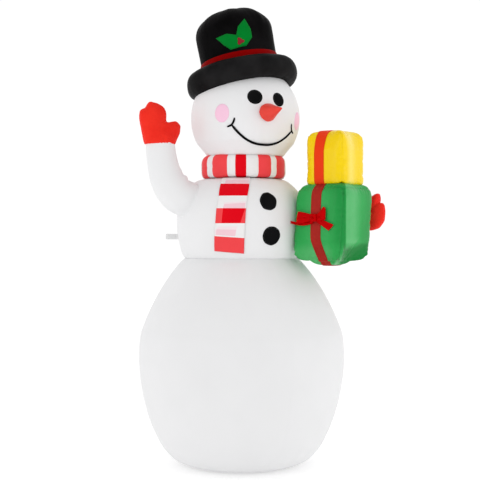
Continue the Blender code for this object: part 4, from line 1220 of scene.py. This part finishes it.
def ribbon(name, box, centre, middle, start, end, width, offset, cloth, slot, replaced):
    """A ribbon laid round a gift, found by looking at the gift from outside; angles run from the top."""
    tree = skin_tree(box)
    turn = Matrix.Translation((*centre, middle)) @ Matrix.Rotation(GIFT_YAW, 4, "Z")
    upper, lower = [], []
    count = 140
    for k in range(count + 1):
        a = math.radians(mix(start, end, k / count))
        out = Vector((0, -math.sin(a), math.cos(a)))
        normal = turn.to_3x3() @ out
        line = []
        for j in range(9):
            far = turn @ (Vector((offset + width * (j / 8 - 0.5), 0, 0)) + out * 0.6)
            line.append(tree.ray_cast(far, -normal)[0])
        upper.append([p + normal * 0.0024 for p in line])
        lower.append([p + normal * 0.0008 for p in line])
    fit(strip(name, upper, lower, cloth), "arm_left", slot, replaced)


ribbon("ribbon_green_strip", GREEN_BOX, GREEN_SPOT, 1.25, 20, 340, 0.058, -0.002, RIBBON_DARK,
       "dark_red_fabric", "ribbon_green")
ribbon("ribbon_yellow_strip", YELLOW_BOX, YELLOW_SPOT, 1.572, -141, 143, 0.056, -0.0225,
       RIBBON_BRIGHT, "orange_red_fabric", "ribbon_yellow")


def bow():
    """Knot, two loops and two tails of red cloth on the green gift."""
    tree = skin_tree(GREEN_BOX)
    turn = Matrix.Translation((*GREEN_SPOT, 0)) @ Matrix.Rotation(GIFT_YAW, 4, "Z")

    def ground(u, z):
        near = min(max(u, -0.110), 0.110)
        hit = tree.ray_cast(turn @ Vector((near, -0.5, z)), turn.to_3x3() @ Vector((0, 1, 0)))[0]
        return (turn.inverted() @ hit).y if hit else -0.148

    def place(u, z, lift):
        return turn @ Vector((u, ground(u, z) - lift, z))
    puffed = {
        "bow_knot": ([(-0.0215, 1.2490), (-0.0200, 1.2900), (0.0140, 1.2880), (0.0155, 1.2500)],
                     (-0.003, 1.2690), 0.0110, 0.0150, 0.0200),
        "bow_loop_left": ([(-0.0180, 1.2560), (-0.0700, 1.2420), (-0.1060, 1.2400), (-0.1120, 1.2520),
                           (-0.1070, 1.2860), (-0.1010, 1.3030), (-0.0650, 1.2970), (-0.0180, 1.2860)],
                          (-0.0650, 1.2690), 0.0090, 0.0130, 0.0130),
        "bow_loop_right": ([(0.0100, 1.2530), (0.0100, 1.2850), (0.0330, 1.3040), (0.0480, 1.3240),
                            (0.0590, 1.3190), (0.0610, 1.2900), (0.0600, 1.2600), (0.0350, 1.2530)],
                           (0.0370, 1.2760), 0.0090, 0.0120, 0.0130)}
    for name, (corners, middle, thin, thick, lift) in puffed.items():
        closed = even([(u, z, 0) for u, z in [*corners, corners[0]]], 0.0025)[:-1]
        made = gathered(name + "_cloth", [(p.x, p.y) for p in closed], middle, thin, thick, lift, place)
        fit(made, "arm_left", "red_fabric", name)
    tails = {
        "bow_tail_right": [(0.008, 1.259, 0.008, 0.012), (0.034, 1.2485, 0.0125, 0.012),
                           (0.062, 1.2345, 0.0150, 0.009), (0.0905, 1.2195, 0.0165, 0.006)],
        "bow_tail_left": [(-0.012, 1.250, 0.008, 0.010), (-0.050, 1.2415, 0.0085, 0.007),
                          (-0.092, 1.2400, 0.0080, 0.007), (-0.142, 1.2480, 0.0072, 0.010),
                          (-0.1900, 1.2590, 0.0062, 0.014)]}
    for name, knots in tails.items():
        line = smooth([(u, z, half) for u, z, half, _ in knots], 8)
        lifts = smooth_values([lift for *_, lift in knots], 8)
        upper, lower = [], []
        for i, (p, lift) in enumerate(zip(line, lifts)):
            q, o = line[min(i + 1, len(line) - 1)], line[max(i - 1, 0)]
            across = Vector((o.y - q.y, q.x - o.x)).normalized()
            slant = 0.006 * i / len(line)
            row = []
            for j in range(9):
                t = j / 4 - 1
                wave = 0.0022 * perlin(t * 1.4, i * 0.18, 3.0) + 0.0020 * math.cos(t * 4.2 + i * 0.10)
                row.append((p.x + across.x * t * p.z + slant * t, p.y + across.y * t * p.z, lift + wave))
            upper.append([place(u, z, rise + 0.0012) for u, z, rise in row])
            lower.append([place(u, z, rise) for u, z, rise in row])
        fit(strip(name + "_cloth", upper, lower, BOW_RED), "arm_left", "red_fabric", name)


def gathered(name, outline, middle, thin, thick, lift, place):
    """A gathered loop of cloth: closed, and deeper the farther it is from the knot."""
    centre = Vector(middle)
    rings = []
    for k in range(13):
        t = k / 6 - 1
        shrink = max(max(1 - abs(t) ** 2.2, 0.0) ** 0.5, 0.12)
        ring = []
        for u, z in outline:
            spot = centre + (Vector((u, z)) - centre) * shrink
            far = min(abs(u + 0.003) / 0.07, 1.0)
            angle = math.atan2(z - 1.269, abs(u + 0.003) + 0.004)
            fold = 1 + 0.14 * math.cos(angle * 9 + 0.6) * (1 - 0.5 * far)
            depth = mix(thin, thick, far) * fold
            ring.append(place(spot.x, spot.y, lift + t * depth))
        rings.append(ring)
    made = loft(name, rings, BOW_RED, caps=(True, True))
    faces_outward(made)
    return made


bow()


# ---- Tether tabs ----
def tether_tabs():
    """A folded piece of webbing on each side of the torso, with a box of stitches on both its faces."""
    half_outer = [(0.0, 0.0034), (0.013, 0.0036), (0.034, 0.0070), (0.050, 0.0068), (0.0560, 0.0030)]
    line = [*half_outer, (0.0572, 0.0), *((x, -y) for x, y in reversed(half_outer))]
    curve = smooth([(x, y, 0) for x, y in line], 5)
    box = [(0.012, 0.010), (0.024, 0.010), (0.024, -0.010), (0.012, -0.010), (0.012, 0.010), (0.024, -0.010)]
    for label, side in (("right", -1), ("left", 1)):
        # each tab points to its side and a little back, with its root inside the seam
        out = Vector((0.899 * side, 0.438, 0))
        spot = out * (TORSO_RADIUS - 0.006) + Vector((0, 0, 1.178))
        turn = Matrix.Translation(spot) @ Matrix.Rotation(math.atan2(out.y, out.x), 4, "Z")
        rings = []
        for i, p in enumerate(curve):
            ahead = (curve[min(i + 1, len(curve) - 1)] - curve[max(i - 1, 0)]).normalized()
            normal = Vector((ahead.y, -ahead.x, 0))
            ring = []
            for a in circle(24):
                c, q = squarish(a, 5)
                rib = 0.00012 * math.sin(q * 34)
                flat_spot = p - normal * (0.0008 - (0.00085 + rib) * c)
                ring.append(turn @ Vector((flat_spot.x * 1.1, flat_spot.y, 0.0145 * q)))
            rings.append(ring)
        made = loft(f"tether_tab_{label}_webbing", rings, WEBBING, caps=(True, True))
        made.data.flip_normals()
        fit(made, f"tether_{label}", "grey_webbing", f"tether_tab_{label}")
        for letter, face_side in (("a", -1), ("b", 1)):
            normal = turn.to_3x3() @ Vector((0, face_side, 0))
            lines = []
            for (x0, z0), (x1, z1) in zip(box, box[1:]):
                for t in (0.0, 0.5, 1.0):
                    knot = Vector((mix(x0, x1, t) * 1.1, 0.0060 * face_side, mix(z0, z1, t)))
                    lines.append((turn @ knot, normal))
            made = stitches(f"tether_{label}_stitches_{letter}", lines, WHITE_THREAD, 0.0022, 0.0008, 0.0009,
                            0.0006)
            fit(made, f"tether_{label}", "grey_webbing")


tether_tabs()


# ---- Zipper, blower and what is inside ----
ZIPPER_Z = 0.55


def zipper_arc(name, lift_low, lift_high, half_height, reach, cloth, replaced, slot, teeth=0):
    """A band or a row of teeth round the back of the lower ball."""
    count = teeth * 4 if teeth else 72
    rings = []
    for k in range(count + 1):
        a = math.radians(mix(reach, -reach, k / count))
        tooth = 0.0005 * math.cos(2 * math.pi * k / 4) if teeth else 0.0
        ring = []
        for t in circle(12):
            c, q = squarish(t, 4)
            z = ZIPPER_Z + (half_height + tooth) * q
            r = ball_radius(z) + mix(lift_low, lift_high, (c + 1) / 2) + 0.001
            ring.append(Vector((-r * math.sin(a), r * math.cos(a), z)))
        rings.append(ring)
    made = loft(name, rings, cloth, caps=(True, True))
    faces_outward(made)
    fit(made, "base", slot, replaced)


def zipper():
    zipper_arc("zipper_tape_cloth", -0.0012, 0.0006, 0.0150, 21.5, SCARF_WHITE, "zipper_tape", "white_fabric")
    zipper_arc("zipper_teeth", 0.0006, 0.0024, 0.0028, 20.5, NYLON, "zipper_chain", "zipper_nylon", 150)
    for letter, side in (("a", -1), ("b", 1)):
        z = ZIPPER_Z + side * 0.0105
        r = ball_radius(z) + 0.0017
        line = []
        for k in range(61):
            a = math.radians(mix(20.5, -20.5, k / 60))
            out = Vector((-math.sin(a), math.cos(a), 0))
            line.append((out * r + Vector((0, 0, z)), out))
        fit(stitches(f"zipper_stitches_{letter}", line, WHITE_THREAD), "base", "white_fabric")


zipper()


def port_welt():
    """The folded edge where the blower's sleeve is sewn into the ball."""
    radius = PORT_RADIUS + 0.0013
    path = []
    for a in [*circle(96), 2 * math.pi]:
        x, z = radius * math.cos(a), BLOWER_Z + radius * math.sin(a)
        path.append(Vector((x, math.sqrt(max(ball_radius(z) ** 2 - x * x, 0)) - 0.001, z)))
    side = (path[1] - path[0]).normalized().orthogonal()
    count = len(path)
    made = tube("port_welt", path, [0.0035] * count, 10, WHITE, [1.0] * count, side, caps=(False, False))
    fit(made, "base", "white_fabric")


port_welt()


def carried_over():
    """CAD nodes that stay get their own material, and moulded ones a small round on their edges."""
    slots = {row["node"]: row["material_slot"] for row in frame["record"]["subparts"]}
    for name, obj in frame["nodes"].items():
        if obj.hide_render:
            continue
        material = SLOT_MATERIAL[slots[name]]
        obj.data.materials.clear()
        obj.data.materials.append(material)
        if slots[name] in ("black_plastic", "zipper_nylon", "zinc_steel"):
            edge = obj.modifiers.new("edges", "BEVEL")
            edge.width = 0.0004
            edge.segments = 2
            edge.limit_method = "ANGLE"
            edge.angle_limit = math.radians(40)


carried_over()


# ---- Floor, light and camera ----
def floor_paint():
    """Pale floor of a light table: a little light of its own keeps it white up to the part."""
    material, tree, shader, _ = blank_material("floor_paint")
    feed(tree, shader, {"Base Color": (0.78, 0.78, 0.78, 1), "Roughness": 0.9, "Specular IOR Level": 0.0,
                        "Emission Color": (1, 1, 1, 1), "Emission Strength": 0.33})
    return material


def stage():
    """The floor, and a world that is white all round and less bright where the face looks."""
    size = 60.0
    floor = new_object("floor", [(-size, -size, 0), (size, -size, 0), (size, size, 0), (-size, size, 0)],
                       [(0, 1, 2, 3)], floor_paint())
    world = bpy.data.worlds.new("studio")
    bpy.context.scene.world = world
    world.use_nodes = True
    tree = world.node_tree
    seen = wire(tree, "TexCoord", output="Generated")
    way = wire(tree, "VectorMath", {0: seen, 1: AWAY}, "Value", operation="DOT_PRODUCT")
    strength = spread(tree, way, 0.68, 1.03, -1.0, 0.2, interpolation_type="SMOOTHSTEP")
    feed(tree, tree.nodes["Background"], {"Color": (1, 1, 1, 1), "Strength": strength})


def area(name, spot, aim, size, power):
    """A rectangular lamp at a spot, turned to the point it aims at."""
    light = bpy.data.lights.new(name, "AREA")
    light.shape = "RECTANGLE"
    light.size, light.size_y = size
    light.energy = power
    obj = bpy.data.objects.new(name, light)
    obj.location = spot
    obj.rotation_mode = "QUATERNION"
    obj.rotation_quaternion = (Vector(aim) - Vector(spot)).to_track_quat("-Z", "Y")
    bpy.context.scene.collection.objects.link(obj)


def studio():
    area("side_light", (2.4, -3.9, 1.7), (0.1, -0.1, 1.4), (0.40, 2.6), 19)
    area("left_light", (-4.6, -1.5, 2.4), (-0.1, 0, 1.1), (2.0, 3.0), 24)


def camera():
    data = bpy.data.cameras.new("camera")
    data.lens = 75.0
    data.sensor_width = 36.0
    data.shift_x = -0.003125
    data.clip_end = 200.0
    obj = bpy.data.objects.new("camera", data)
    obj.location = (-2.3014, -4.7187, 1.16)
    obj.rotation_euler = (math.radians(90), 0, math.radians(-26))
    bpy.context.scene.collection.objects.link(obj)
    bpy.context.scene.camera = obj


stage()
studio()
camera()
bpy.context.scene.view_settings.view_transform = "Standard"
